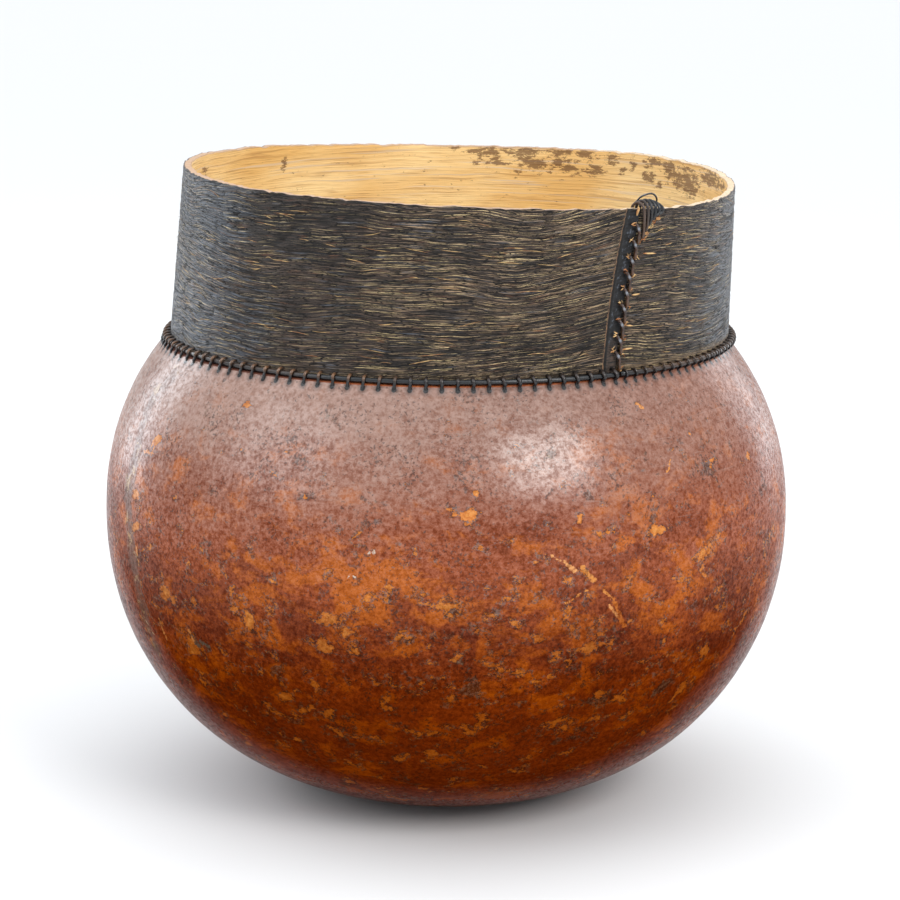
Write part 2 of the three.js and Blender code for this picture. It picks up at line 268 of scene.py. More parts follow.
def stretched(vector, scale, location=(0, 0, 0)):
    return addNode("ShaderNodeMapping", {"Vector": vector, "Scale": scale, "Location": location})[0]


def separated(vector):
    return addNode("ShaderNodeSeparateXYZ", {0: vector})


def objectPlace():
    return addNode("ShaderNodeTexCoord")["Object"]


def surfacePlace():
    return addNode("ShaderNodeUVMap", uv_map="surface")["UV"]


def mark(name):
    return addNode("ShaderNodeAttribute", attribute_name=name)["Fac"]


def bump(height, strength, distance):
    return addNode("ShaderNodeBump", {"Height": height, "Strength": strength, "Distance": distance})[0]


# Colours as a screen shows them, 0 to 255, in the linear form that the shaders take
def screenColours(colours):
    def linear(value):
        part = value / 255
        return part / 12.92 if part <= 0.04045 else ((part + 0.055) / 1.055) ** 2.4

    return {name: (*map(linear, parts), 1.0) for name, parts in colours.items()}


# A node group. inputs gives each input's first value, or None for a vector; outputs are all numbers.
def newGroup(name, inputs, outputs):
    tree = bpy.data.node_groups.new(name, "ShaderNodeTree")
    building["tree"] = tree
    for key, value in inputs.items():
        plain = isinstance(value, float)
        socket = tree.interface.new_socket(
            key, in_out="INPUT", socket_type="NodeSocketFloat" if plain else "NodeSocketVector",
        )
        if value is not None:
            socket.default_value = value
    for key in outputs:
        tree.interface.new_socket(key, in_out="OUTPUT", socket_type="NodeSocketFloat")
    return tree, addNode("NodeGroupInput"), addNode("NodeGroupOutput").node.inputs


def useGroup(group, inputs):
    return addNode("ShaderNodeGroup", inputs, node_tree=group)


# A material with a plain principled shader, and the shader's sockets
def newMaterial(name, **values):
    material = bpy.data.materials.new(name)
    material.use_nodes = True
    building["tree"] = material.node_tree
    sockets = material.node_tree.nodes["Principled BSDF"].inputs
    for key, value in values.items():
        sockets[key].default_value = value
    return material, sockets


# Effects that several finishes share

# Ragged patches, one in some of the cells of a scatter
def makeRaggedPatches():
    tree, given, out = newGroup("ragged patches", {
        "Vector": None, "Scale": 60.0, "Share": 0.3, "Size": 0.4, "Ragged": 0.8,
    }, ["Patch"])
    shake = noise(given["Vector"], given["Scale"] * 2.6, detail=5, roughness=0.65, output="Color")
    shift = scaled(vectorMaths("SUBTRACT", shake, (0.5, 0.5, 0.5)), given["Ragged"] / given["Scale"])
    place = vectorMaths("ADD", given["Vector"], shift)
    cells = addNode("ShaderNodeTexVoronoi", {"Vector": place, "Scale": given["Scale"]})
    split = addNode("ShaderNodeSeparateColor", {"Color": cells["Color"]})
    picked = maths("LESS_THAN", split[0], given["Share"])
    inside = given["Size"] * (split[1] + 0.4) - cells["Distance"]
    link(band(inside, 0.0, 0.05) * picked, out["Patch"])
    return tree


# Strands of fibre that lie along the first direction, wandering a little across it
def makeFibreGrain():
    tree, given, out = newGroup("fibre grain", {
        "Vector": None, "Length": 0.02, "Width": 0.0012, "Wander": 0.002, "Seed": 0.0,
    }, ["Strands", "Fine", "Tufts"])
    parts = separated(given["Vector"])
    slow = noise(stretched(given["Vector"], (22, 60, 1)), 1.0, detail=2)
    wander = (slow - 0.5) * given["Wander"]
    along = parts[0] / given["Length"]
    side = (parts[1] + wander) / given["Width"]
    strip = addNode("ShaderNodeCombineXYZ", {0: along, 1: side, 2: given["Seed"]})[0]
    strands = noise(strip, 1.0, detail=2, roughness=0.55)
    fine = noise(stretched(strip, (1.7, 2.9, 1), (7, 3, 1)), 1.0, detail=3, roughness=0.7)
    tufts = noise(stretched(strip, (0.8, 0.9, 1), (31, 17, 5)), 1.0, detail=1)
    link(strands, out["Strands"])
    link(fine, out["Fine"])
    link(tufts, out["Tufts"])
    return tree


# Small specks, crowded in some places and rare in others
def makeSpecks():
    tree, given, out = newGroup("specks", {"Vector": None, "Scale": 500.0, "Share": 0.3}, ["Specks"])
    grains = noise(given["Vector"], given["Scale"], detail=2, roughness=0.6)
    crowd = noise(given["Vector"], given["Scale"] * 0.09, detail=3)
    level = grains + (crowd - 0.5) * 0.5
    edge = 0.8 - given["Share"] * 0.5
    link(band(level, edge, edge + 0.06), out["Specks"])
    return tree


# A straight scratch from one point to another, ragged at its sides
def makeScratchMark():
    tree, given, out = newGroup("scratch mark", {
        "Vector": None, "From": (0, 0, 0), "To": (0, 0, 0.01), "Half Width": 0.001,
    }, ["Scratch"])
    rough = noise(given["Vector"], 420, detail=3, output="Color")
    shaken = scaled(vectorMaths("SUBTRACT", rough, (0.5, 0.5, 0.5)), 0.0034)
    offset = vectorMaths("SUBTRACT", vectorMaths("ADD", given["Vector"], shaken), given["From"])
    run = vectorMaths("SUBTRACT", given["To"], given["From"])
    dot = vectorMaths("DOT_PRODUCT", offset, run, "Value")
    square = vectorMaths("DOT_PRODUCT", run, run, "Value")
    apart = vectorMaths("SUBTRACT", offset, scaled(run, maths("DIVIDE", dot, square, clamp=True)))
    away = vectorMaths("LENGTH", apart, output="Value")
    link(band(away / given["Half Width"], 1.15, 0.75), out["Scratch"])
    return tree


raggedPatches = makeRaggedPatches()
scratchMark = makeScratchMark()
fibreGrain = makeFibreGrain()
specks = makeSpecks()


def grainOf(place, length, width, wander, seed):
    return useGroup(fibreGrain, {
        "Vector": place, "Length": length, "Width": width, "Wander": wander, "Seed": seed,
    })


# The gourd's shape and marks, which its finish reads too

gourd = {
    "bellyRadius": 0.180, "bellyHeight": 0.1482, "restRadius": 0.0327,
    "lowerPower": 2.066, "upperDepth": 0.1499, "upperPower": 2.165,
    "wall": 0.0065, "mouthHeight": 0.2402, "mouthSlope": 0.0104, "mouthRadius": 0.14775,
    "columns": 440, "poleRadius": 0.0004,
    "rows": {"rest": 8, "lower": 88, "upper": 46, "edge": 3, "insideUpper": 16, "insideLower": 34},
    "edgeRounding": 0.0006, "dentDepth": 0.0007, "rippleDepth": 0.0002, "scarDepth": 0.0002,
    "innerSwell": 0.0012, "bottomSwell": 0.0008, "stitchSpacing": 0.0075, "holeDrop": 0.002,
}


def mouthAt(x):
    return gourd["mouthHeight"] + gourd["mouthSlope"] * x


# Half of a superellipse wall from the flat spot (turn -90) through the belly (0) up to the cut.
# inset moves it inwards from the outer face.
def wallPoint(turn, inset):
    radius = gourd["bellyRadius"] - inset
    rest, belly = gourd["restRadius"], gourd["bellyHeight"]
    lowerPower, upperPower = 2 / gourd["lowerPower"], 2 / gourd["upperPower"]
    lower = np.radians(np.clip(90 + turn, 0, 90))
    upper = np.radians(np.clip(turn, 0, 90))
    lowerRadius = rest + (radius - rest) * np.sin(lower) ** lowerPower
    lowerHeight = belly * (1 - (1 - inset / belly) * np.cos(lower) ** lowerPower)
    upperRadius = radius * np.cos(upper) ** upperPower
    upperHeight = belly + (gourd["upperDepth"] - inset) * np.sin(upper) ** upperPower
    return np.where(turn < 0, lowerRadius, upperRadius), np.where(turn < 0, lowerHeight, upperHeight)


# The turn at which the wall reaches a height above the belly
def turnAtHeight(height, inset):
    share = (height - gourd["bellyHeight"]) / (gourd["upperDepth"] - inset)
    return np.degrees(np.arcsin(share ** (gourd["upperPower"] / 2)))


# The place of a mark on the outer face: bearing in degrees, height in millimetres
def rindPoint(bearing, height):
    share = height / 1000 / gourd["bellyHeight"]
    if share < 1:
        sine = math.sqrt(1 - (1 - share) ** gourd["lowerPower"]) ** (2 / gourd["lowerPower"])
        radius = gourd["restRadius"] + (gourd["bellyRadius"] - gourd["restRadius"]) * sine
    else:
        climb = (height / 1000 - gourd["bellyHeight"]) / gourd["upperDepth"]
        radius = gourd["bellyRadius"] * (1 - climb ** gourd["upperPower"]) ** (1 / gourd["upperPower"])
    turn = math.radians(bearing)
    return radius * math.sin(turn), -radius * math.cos(turn), height / 1000


# Where the rind is marked: bearing, height, half width and half height in mm, and the lean in degrees
gourdMarks = {
    "flake": [
        (-22.8, 188, 3.1, 1.8, -20), (-28.0, 146, 3.8, 3.0, -20), (-31.8, 122, 3.1, 4.2, 30),
        (-18.8, 128, 3.4, 3.1, 0), (-18.5, 116, 4.0, 2.5, -30), (-13.5, 116, 3.6, 4.1, 0),
        (-15.8, 124, 3.9, 3.1, 0), (-8.5, 148, 2.2, 3.8, -15), (-7.0, 124, 2.0, 2.0, 0),
        (-45.8, 105, 6.4, 5.9, 0), (-51.5, 126, 4.1, 3.3, 0), (-48.8, 124, 3.4, 2.6, 0),
        (-62.0, 154, 5.7, 3.2, 0), (-61.5, 172, 7.2, 2.9, 0), (-57.8, 200, 3.7, 4.0, 0),
        (-60.0, 192, 4.1, 1.8, 0), (4.2, 180, 8.0, 4.6, -30), (4.8, 194, 1.8, 1.8, 0),
        (21.2, 180, 1.8, 2.2, 0), (25.0, 173, 4.7, 1.8, 5), (21.8, 154, 4.2, 3.0, -40),
        (0.5, 140, 6.3, 2.5, -5), (10.0, 143, 3.1, 2.6, 0), (-3.0, 146, 2.0, 1.8, 20),
        (6.8, 137, 3.1, 2.0, 10), (19.5, 136, 3.6, 2.0, 25), (23.2, 114, 7.7, 4.4, 0),
        (20.8, 109, 3.8, 2.8, 0), (-9.2, 90, 1.8, 1.8, 0), (-19.8, 78, 2.6, 3.1, 0),
        (-28.2, 84, 2.9, 1.9, 0), (27.0, 89, 4.4, 2.4, 0), (30.8, 84, 5.1, 1.8, 5),
        (41.5, 99, 3.0, 2.2, 30), (46.5, 132, 5.0, 2.2, 0), (49.2, 102, 3.0, 1.8, 0),
        (36.8, 228, 1.8, 1.8, -40), (42.0, 216, 1.9, 1.8, 0), (45.8, 212, 2.9, 1.8, 0),
        (48.8, 198, 5.7, 1.8, 0), (59.8, 195, 6.5, 1.8, 0), (35.0, 170, 5.9, 2.3, 0),
        (45.2, 156, 5.2, 4.0, 0), (-27.5, 208, 2.1, 1.8, 0), (-38.2, 225, 3.7, 1.8, 0),
        (-5.5, 122, 3.1, 2.0, 0), (-28.5, 58, 3.0, 1.8, 10), (5.8, 112, 2.6, 2.1, 0),
        (13.5, 122, 4.3, 2.6, 0),
    ],
    "stain": [
        (-22.8, 187, 4.6, 3.1, 0), (-28.0, 144, 6.0, 4.0, 0), (-31.2, 119, 5.1, 5.2, 0),
        (-19.0, 114, 10.3, 6.4, 0), (-8.0, 144, 3.8, 6.0, 0), (-42.8, 104, 6.8, 2.9, 0),
        (-24.8, 137, 4.2, 1.8, 0), (-29.0, 98, 6.0, 2.4, 0), (-28.0, 86, 4.8, 2.9, 0),
        (-24.0, 85, 3.2, 2.2, 0), (-19.8, 78, 4.3, 4.2, 0), (-16.2, 84, 3.6, 3.6, 0),
        (-21.2, 173, 1.8, 1.8, 0), (-16.2, 185, 1.8, 1.8, 0), (-31.2, 158, 2.4, 2.0, 0),
        (-5.5, 123, 7.2, 3.5, 0), (-3.0, 190, 3.7, 2.8, 0), (4.2, 127, 4.4, 3.1, 40),
        (0.8, 137, 8.6, 3.5, 0), (9.5, 186, 3.1, 2.2, 0), (22.8, 191, 2.6, 1.8, 0), (7.8, 171, 3.1, 3.8, 0),
        (42.8, 210, 6.1, 3.6, 0), (44.5, 195, 10.6, 3.1, 0), (63.8, 176, 5.1, 3.7, 0),
        (64.0, 200, 6.0, 4.3, 0), (28.0, 199, 2.4, 5.9, 0), (47.0, 229, 10.0, 2.0, 0),
        (33.5, 236, 6.9, 1.8, 0), (23.2, 106, 11.7, 5.5, 0), (40.0, 85, 8.5, 3.6, 20),
        (25.8, 68, 6.9, 5.1, 30), (46.5, 130, 10.2, 3.8, 0), (52.2, 116, 8.8, 3.4, 0),
        (27.2, 86, 13.2, 4.3, 0), (-3.8, 101, 9.8, 3.2, 0), (4.2, 96, 10.8, 4.4, 0),
        (14.8, 142, 7.8, 2.9, 0), (-2.2, 162, 3.9, 2.3, 0), (-61.8, 168, 6.2, 5.8, 0),
        (-47.0, 99, 5.7, 3.8, 0), (-58.5, 139, 5.0, 10.7, 0), (-25.2, 203, 1.8, 1.8, 0),
        (-22.2, 204, 1.8, 1.8, 0),
    ],
    "glow": [
        (34.7, 136, 26, 19, 0), (-13, 150, 26, 30, 0), (-2, 140, 20, 18, 0), (20, 122, 26, 12, 0),
        (8, 118, 14, 12, 0), (-30, 120, 24, 18, 0), (30, 212, 9, 10, 0), (44, 150, 14, 18, 0),
        (48, 122, 12, 18, 0), (-48, 118, 14, 10, 0), (18, 95, 24, 10, 0), (-7, 126, 12, 8, 0),
        (24, 112, 14, 8, 0), (-17, 120, 10, 8, 0), (-47, 108, 10, 8, 0),
    ],
}

# Narrow scratches down to a paler layer: bearing and height in mm of both ends, half width in mm, and
# the layer that it shows
gourdScratches = [
    ((16.5, 163.2), (18.8, 159.5), 0.8, "flakePale"), ((18.8, 159.5), (20.2, 155.2), 1.2, "flakePale"),
    ((21.5, 156.5), (23.5, 149.8), 1.4, "flakeTan"), ((25.2, 144.3), (27.0, 138.8), 0.7, "flakeTan"),
    ((27.0, 138.8), (29.3, 125.0), 1.2, "flakeOrange"), ((22.2, 145.0), (18.8, 139.5), 0.6, "flakeTan"),
    ((-12.2, 163.8), (-10.8, 165.0), 0.8, "scrape"), ((-14.8, 152.0), (-13.8, 152.2), 0.7, "scrape"),
    ((-61.0, 105.0), (-58.8, 99.2), 0.7, "scrape"), ((-54.8, 109.8), (-54.0, 99.5), 0.8, "flakePale"),
    ((-60.2, 143.8), (-59.5, 135.0), 0.8, "flakePale"), ((-60.0, 124.5), (-58.0, 106.8), 0.7, "scar"),
    ((-9.2, 104.8), (13.0, 104.3), 0.4, "stain"), ((-65.6, 222.2), (-65.4, 217.8), 0.5, "paleTan"),
    ((40.0, 203.2), (38.5, 197.2), 0.6, "flakeTan"), ((36.2, 229.2), (37.0, 227.2), 0.9, "flakeTan"),
    ((-45.8, 107.0), (-44.5, 103.0), 1.5, "greyStain"), ((-43.8, 105.5), (-41.8, 103.8), 1.2, "greyStain"),
    ((-46.2, 110.0), (-45.6, 104.0), 0.8, "flakePale"), ((26.4, 136.4), (27.8, 130.2), 0.9, "flakePale"),
]
scarLine = [(-63, 229), (-66.3, 215), (-63.9, 192), (-63.9, 166), (-61.8, 136), (-60.5, 105), (-60.1, 90)]
scarHalfWidth = 6.5


# Finishes

gourdLooks = screenColours({
    "deep": (108, 45, 12), "warm": (148, 68, 20), "orange": (178, 92, 12), "stain": (64, 50, 46),
    "greyStain": (98, 92, 90), "bloom": (143, 114, 102), "bloomDark": (118, 86, 73),
    "bloomPale": (160, 132, 120), "scrape": (190, 176, 160), "flakeOrange": (186, 106, 32),
    "flakeTan": (198, 128, 56), "flakePale": (204, 142, 84), "paleTan": (164, 138, 108),
    "scar": (104, 80, 72), "patch": (84, 38, 18), "pulp": (156, 80, 34), "pulpDark": (120, 52, 20),
    "inside": (150, 108, 66), "insideDark": (92, 60, 34),
})
gourdLooks["gritShade"] = (0.52, 0.44, 0.40, 1)
# Painted shade that darkens the rind low down
gourdLooks["lowTint"] = (0.47, 0.33, 0.18, 1)
# Painted shade inside the stitch holes
gourdLooks["hole"] = (0.004, 0.003, 0.003, 1)


# Noises of the rind: scale, detail, roughness and distortion
rindNoises = {
    "clouds": (20, 5, 0.52, 0.3), "mottles": (120, 5, 0.74), "grit": (430, 3, 0.8), "rings": (1.0, 3, 0.65),
    "blocks": (52, 5, 0.66, 0.4), "crowd": (66, 7, 0.8, 0.2), "chips": (88, 6, 0.74),
}
# Where each effect on the rind sets in: low and high, and what it is below and above them (0 and 1
# where they aren't given)
rindBands = {
    "warm": (0.34, 0.66), "glow": (0.51, 0.66, 0.0, 0.8), "dim": (0.45, 0.4),
    "dimHeight": (0.165, 0.12), "bloom": (0.15, 0.238, 0.0, 0.92), "bloomSide": (0.03, 0.15, 1.0, 0.72),
    "bloomTone": (0.27, 0.75), "bloomPale": (0.04, -0.1, 0.0, 0.7), "stain": (0.595, 0.64, 0.0, 0.66),
    "stainTone": (0.44, 0.6), "flakeHeight": (0.12, 0.22, 0.0, 0.07), "patch": (0.592, 0.612),
    "rim": (0.545, 0.585), "tan": (0.62, 0.7), "grit": (0.64, 0.32, 0.0, 0.55), "rings": (0.6, 0.7),
    "ringHeight": (0.14, 0.2, 0.04, 0.32), "scarTone": (0.535, 0.575), "scar": (0.25, 1.0, 0.0, 0.75),
    "scratch": (0.36, 0.56, 0.4, 0.95), "low": (0.18, 0.085), "hole": (0.0014, 0.0009),
    "holeStain": (0.0034, 0.0012, 0.0, 0.5), "roughness": (0.35, 0.65, 0.42, 0.56),
    "edge": (0.6, 0.95, 0.0, 0.9), "waxHeight": (0.09, 0.21), "waxStain": (0.0, 0.8, 1.0, 0.5),
    "waxMottles": (0.3, 0.7, 0.8, 1.0), "waxGrit": (0.37, 0.59, 0.4, 1.0),
}


# Waxed rind: clouds of orange and red-brown, crowds of grey specks, flakes down to the tan layer,
# a dusty bloom with painted sheen on the shoulder, and painted shade low down and in the stitch holes
def makeGourdSkin():
    material, shader = newMaterial(
        "gourd skin", **{"Specular IOR Level": 0.0, "Coat Roughness": 0.26, "Coat IOR": 1.66},
    )
    place = objectPlace()
    flat = stretched(place, (1, 1, 1.7))
    parts = separated(place)
    side, height = parts[0], parts[2]
    clouds = noise(flat, *rindNoises["clouds"])
    mottles = noise(flat, *rindNoises["mottles"])
    grit = noise(place, *rindNoises["grit"])
    level = noise(stretched(place, (40, 40, 620)), *rindNoises["rings"])
    tone = clouds * 0.38 + grit * 0.38 + mottles * 0.24
    colour = mixColour(band(tone, *rindBands["warm"]), gourdLooks["deep"], gourdLooks["warm"])
    wide = stretched(place, (1, 1, 1.5), (2.3, 0.7, 1.9))
    blocks = noise(wide, *rindNoises["blocks"])
    glow = blocks + mark("glow") * 0.09
    colour = mixColour(band(glow, *rindBands["glow"]), colour, gourdLooks["orange"])
    dim = band(blocks, *rindBands["dim"]) * band(height, *rindBands["dimHeight"])
    colour = mixColour(dim * 0.14, colour, gourdLooks["patch"])
    # A dusty bloom with painted sheen on the shoulder: paler on the left as painted sheen, fainter on the
    # right as painted shade
    shoulder = height + (tone - 0.5) * 0.2
    bloom = band(shoulder, *rindBands["bloom"]) * band(side, *rindBands["bloomSide"])
    speckled = band(mottles, *rindBands["bloomTone"])
    bloomTone = mixColour(speckled, gourdLooks["bloomDark"], gourdLooks["bloom"])
    bloomTone = mixColour(band(side, *rindBands["bloomPale"]), bloomTone, gourdLooks["bloomPale"])
    colour = mixColour(bloom, colour, bloomTone)

    crowd = noise(place, *rindNoises["crowd"])
    stain = band(crowd + mark("stain") * 0.1, *rindBands["stain"])
    stainTone = mixColour(band(grit, *rindBands["stainTone"]), gourdLooks["stain"], gourdLooks["greyStain"])
    colour = mixColour(stain, colour, stainTone)
    dots = useGroup(specks, {"Vector": place, "Scale": 700.0, "Share": 0.34})["Specks"]
    colour = mixColour(dots * 0.6, colour, gourdLooks["stain"])

    chips = noise(stretched(place, (1, 1, 1.3), (3.1, 1.7, 0.4)), *rindNoises["chips"])
    flake = mark("flake")
    high = band(height, *rindBands["flakeHeight"]) * (1.0 - flake)
    chipped = chips + flake * 0.175 - high
    patch = band(chipped, *rindBands["patch"])
    rim = maths("SUBTRACT", band(chipped, *rindBands["rim"]), patch, clamp=True)
    colour = mixColour(rim * 0.75, colour, stainTone)
    tan = mixColour(band(chipped, *rindBands["tan"]), gourdLooks["flakeOrange"], gourdLooks["flakeTan"])
    colour = mixColour(patch * 0.9, colour, tan)
    colour = mixColour(band(grit, *rindBands["grit"]), colour, gourdLooks["gritShade"], "MULTIPLY")
    rings = band(level, *rindBands["rings"]) * band(height, *rindBands["ringHeight"])
    colour = mixColour(rings, colour, gourdLooks["bloom"])

    scar = mark("scar") + (crowd - 0.5) * 3.2
    scarred = mixColour(band(chips, *rindBands["scarTone"]), gourdLooks["scar"], gourdLooks["paleTan"])
    colour = mixColour(band(scar, *rindBands["scar"]), colour, scarred)
    worn = band(grit, *rindBands["scratch"])
    for start, end, halfWidth, layer in gourdScratches:
        scratch = useGroup(scratchMark, {
            "Vector": place, "From": rindPoint(*start), "To": rindPoint(*end), "Half Width": halfWidth / 1000,
        })["Scratch"]
        colour = mixColour(scratch * worn, colour, gourdLooks[layer])
    # Painted shade: the rind is darkened towards the bottom
    colour = mixColour(band(shoulder, *rindBands["low"]), colour, gourdLooks["lowTint"], "MULTIPLY")

    # Each stitch's hole is a near-black disc of painted shade with a stain round it: across in stitches, down
    # in metres
    around = separated(surfacePlace())
    sideways = (maths("FRACT", around[0] + 0.5) - 0.5) * gourd["stitchSpacing"]
    down = around[1] - gourd["holeDrop"]
    spread = maths("SQRT", maths("POWER", sideways, 2.0) + maths("POWER", down, 2.0))
    hole = band(spread, *rindBands["hole"])
    colour = mixColour(band(spread, *rindBands["holeStain"]), colour, gourdLooks["stain"])
    colour = mixColour(hole, colour, gourdLooks["hole"])
    link(colour, shader["Base Color"])

    dull = maths("MAXIMUM", stain, patch) * 0.2 + dots * 0.1
    link(band(clouds, *rindBands["roughness"]) + dull, shader["Roughness"])
    facing = addNode("ShaderNodeLayerWeight", {"Blend": 0.5})["Facing"]
    edge = band(facing, *rindBands["edge"])
    waxed = maths("MAXIMUM", band(height, *rindBands["waxHeight"]), edge)
    waxed = waxed * band(stain, *rindBands["waxStain"])
    broken = band(mottles, *rindBands["waxMottles"]) * band(grit, *rindBands["waxGrit"])
    link(waxed * broken, shader["Coat Weight"])
    relief = mottles * 0.6 - dots * 0.4 - patch * 0.6 - hole * 3.0 + grit * 0.65 + level * 0.3
    link(bump(relief, 0.7, 0.0004), shader["Normal"])
    return material


# Low and high of each effect, as in rindBands
cutBands = {
    "pulp": (0.35, 0.6), "handledLeft": (-0.03, -0.09), "handledRight": (0.05, 0.09),
}


# The cut edge of the shell: pale orange pulp, pitted
def makeGourdCut():
    material, shader = newMaterial("gourd cut edge", Roughness=0.75)
    place = objectPlace()
    grain = noise(place, 420, detail=4, roughness=0.7)
    colour = mixColour(band(grain, *cutBands["pulp"]), gourdLooks["pulpDark"], gourdLooks["pulp"])
    side = separated(place)[0]
    # Darker towards the left and right sides
    darkerSides = maths("MAXIMUM", band(side, *cutBands["handledLeft"]), band(side, *cutBands["handledRight"]))
    colour = mixColour(darkerSides, colour, gourdLooks["patch"])
    link(colour, shader["Base Color"])
    link(bump(grain, 0.6, 0.0006), shader["Normal"])
    return material


# Low and high of each effect, as in rindBands
shellBands = {
    "cloud": (0.38, 0.62), "scrape": (0.45, 0.7, 0.0, 0.5),
}


# The scraped inside: dry and matt, with stains
def makeGourdInside():
    material, shader = newMaterial("gourd inside", Roughness=0.85)
    place = objectPlace()
    clouds = noise(place, 24, detail=5, roughness=0.6, distortion=0.5)
    scrapes = noise(stretched(place, (1, 1, 3.2)), 130, detail=5, roughness=0.7)
    colour = mixColour(band(clouds, *shellBands["cloud"]), gourdLooks["insideDark"], gourdLooks["inside"])
    colour = mixColour(band(scrapes, *shellBands["scrape"]), colour, gourdLooks["paleTan"])
    blots = useGroup(raggedPatches, {
        "Vector": place, "Scale": 34.0, "Share": 0.2, "Size": 0.4, "Ragged": 0.9,
    })
    colour = mixColour(blots["Patch"] * 0.5, colour, gourdLooks["insideDark"])
    link(colour, shader["Base Color"])
    link(bump(scrapes, 0.6, 0.001), shader["Normal"])
    return material


barkLooks = screenColours({
    "crack": (12, 10, 9), "dark": (50, 42, 37), "brown": (76, 61, 52), "grey": (88, 94, 104),
    "tan": (152, 128, 100), "copper": (128, 82, 52), "straw": (230, 204, 150), "green": (74, 78, 66),
    "tongue": (28, 28, 31), "cut": (116, 86, 60), "rimDull": (186, 156, 130), "rimSkin": (84, 78, 76),
    "cream": (214, 192, 164), "gold": (230, 182, 108), "paleGold": (250, 216, 154),
    "amber": (160, 110, 56), "mould": (96, 60, 32),
})


# Where each effect on the bark sets in: low and high, and what it is below and above them
barkBands = {
    "wideCrack": (0.026, 0.006), "groove": (0.3, 0.05, 0.0, 0.6), "fineCrack": (0.02, 0.005, 0.0, 0.6),
    "body": (0.36, 0.64), "grey": (0.58, 0.8, 0.0, 0.85), "greenZone": (0.56, 0.66),
    "greenStrand": (0.46, 0.6), "hairGap": (0.42, 0.54, 0.85, 0.0), "tanHair": (0.64, 0.69, 0.0, 0.9),
    "rustTuft": (0.42, 0.34), "rustHair": (0.53, 0.62), "paleTuft": (0.61, 0.65),
    "paleHair": (0.47, 0.53), "dustRise": (0.0075, 0.004), "dustStrand": (0.38, 0.58),
    "roughness": (0.0, 1.0, 0.42, 0.8),
}


# Weathered bark: strands along the strip with black cracks that wander between them, hairs in tan,
# copper and straw on their crests, blue-grey in places and as painted sheen on the sides, and painted shade
# in the grooves
def makeBarkOutside():
    material, shader = newMaterial("bark outside", **{"Specular IOR Level": 0.3})
    place = surfacePlace()
    strands = grainOf(place, 0.016, 0.0014, 0.002, 3.0)
    hairs = grainOf(place, 0.024, 0.00034, 0.002, 11.0)
    zones = noise(stretched(place, (16, 34, 1)), 1.0, detail=4, roughness=0.6)
    ridge = mark("ridge")
    offLine = maths("ABSOLUTE", strands["Strands"] - 0.5)
    finer = maths("ABSOLUTE", strands["Fine"] - 0.5)
    # Painted shade: the grooves of the relief are darkened towards black, along with the cracks
    cracksAndGrooveShade = maths("MAXIMUM", band(offLine, *barkBands["wideCrack"]), band(ridge, *barkBands["groove"]))
    cracksAndGrooveShade = maths("MAXIMUM", cracksAndGrooveShade, band(finer, *barkBands["fineCrack"]))
    body = mixColour(band(zones, *barkBands["body"]), barkLooks["dark"], barkLooks["brown"])
    # Grey where the strands are tufted, and as painted sheen on the collar's sides
    greyed = strands["Tufts"] + mark("paintedSideSheen") * 0.3
    body = mixColour(band(greyed, *barkBands["grey"]), body, barkLooks["grey"])
    greenish = band(zones, *barkBands["greenZone"]) * band(strands["Fine"], *barkBands["greenStrand"])
    body = mixColour(greenish * 0.6, body, barkLooks["green"])
    body = mixColour(band(hairs["Strands"], *barkBands["hairGap"]), body, barkLooks["crack"])
    often = (zones - 0.5) * 0.26 + (mark("hairy") - 0.15) * 0.09
    lit = hairs["Strands"] + often
    body = mixColour(band(lit, *barkBands["tanHair"]), body, barkLooks["tan"])
    rusty = band(strands["Tufts"], *barkBands["rustTuft"]) * band(hairs["Fine"], *barkBands["rustHair"])
    body = mixColour(rusty * 0.75, body, barkLooks["copper"])
    pale = band(hairs["Tufts"], *barkBands["paleTuft"]) * band(hairs["Fine"], *barkBands["paleHair"])
    body = mixColour(pale * mixNumber(mark("hairy"), 0.5, 0.95), body, barkLooks["straw"])
    colour = mixColour(cracksAndGrooveShade, body, barkLooks["crack"])
    dust = band(mark("rise"), *barkBands["dustRise"]) * mark("dusty")
    dust = dust * band(strands["Fine"], *barkBands["dustStrand"])
    colour = mixColour(dust * 0.6, colour, barkLooks["tan"])
    link(colour, shader["Base Color"])
    link(band(cracksAndGrooveShade, *barkBands["roughness"]), shader["Roughness"])
    relief = hairs["Strands"] * 0.8 - cracksAndGrooveShade * 0.7
    link(bump(relief, 1.0, 0.0006), shader["Normal"])
    return material


# Low and high of each effect, as in barkBands
tongueBands = {
    "lowDown": (0.022, 0.012), "strand": (0.38, 0.62), "blot": (0.54, 0.66, 0.0, 0.8),
    "coarse": (0.4, 0.62), "roughness": (0.3, 0.7, 0.34, 0.6),
}


# The pared tongue: bark shaved smooth and dark, rougher low down, with a painted shadow in the gap at its
# edge
def makeTongueBark():
    material, shader = newMaterial("pared tongue", **{"Specular IOR Level": 0.3})
    place = surfacePlace()
    grain = grainOf(place, 0.012, 0.0012, 0.003, 19.0)
    rough = band(mark("rise"), *tongueBands["lowDown"])
    strands = band(grain["Strands"], *tongueBands["strand"])
    shaved = mixColour(strands, barkLooks["crack"], barkLooks["tongue"])
    blots = noise(place, 330, detail=5, roughness=0.75)
    shaved = mixColour(band(blots, *tongueBands["blot"]), shaved, barkLooks["grey"])
    coarse = mixColour(band(grain["Fine"], *tongueBands["coarse"]), barkLooks["crack"], barkLooks["brown"])
    colour = mixColour(rough, shaved, coarse)
    link(mixColour(mark("paintedGapShadow"), colour, barkLooks["crack"]), shader["Base Color"])
    link(band(grain["Fine"], *tongueBands["roughness"]), shader["Roughness"])
    depth = grain["Fine"] * mixNumber(rough, 0.35, 1.0)
    link(bump(depth, 0.6, 0.0005), shader["Normal"])
    return material


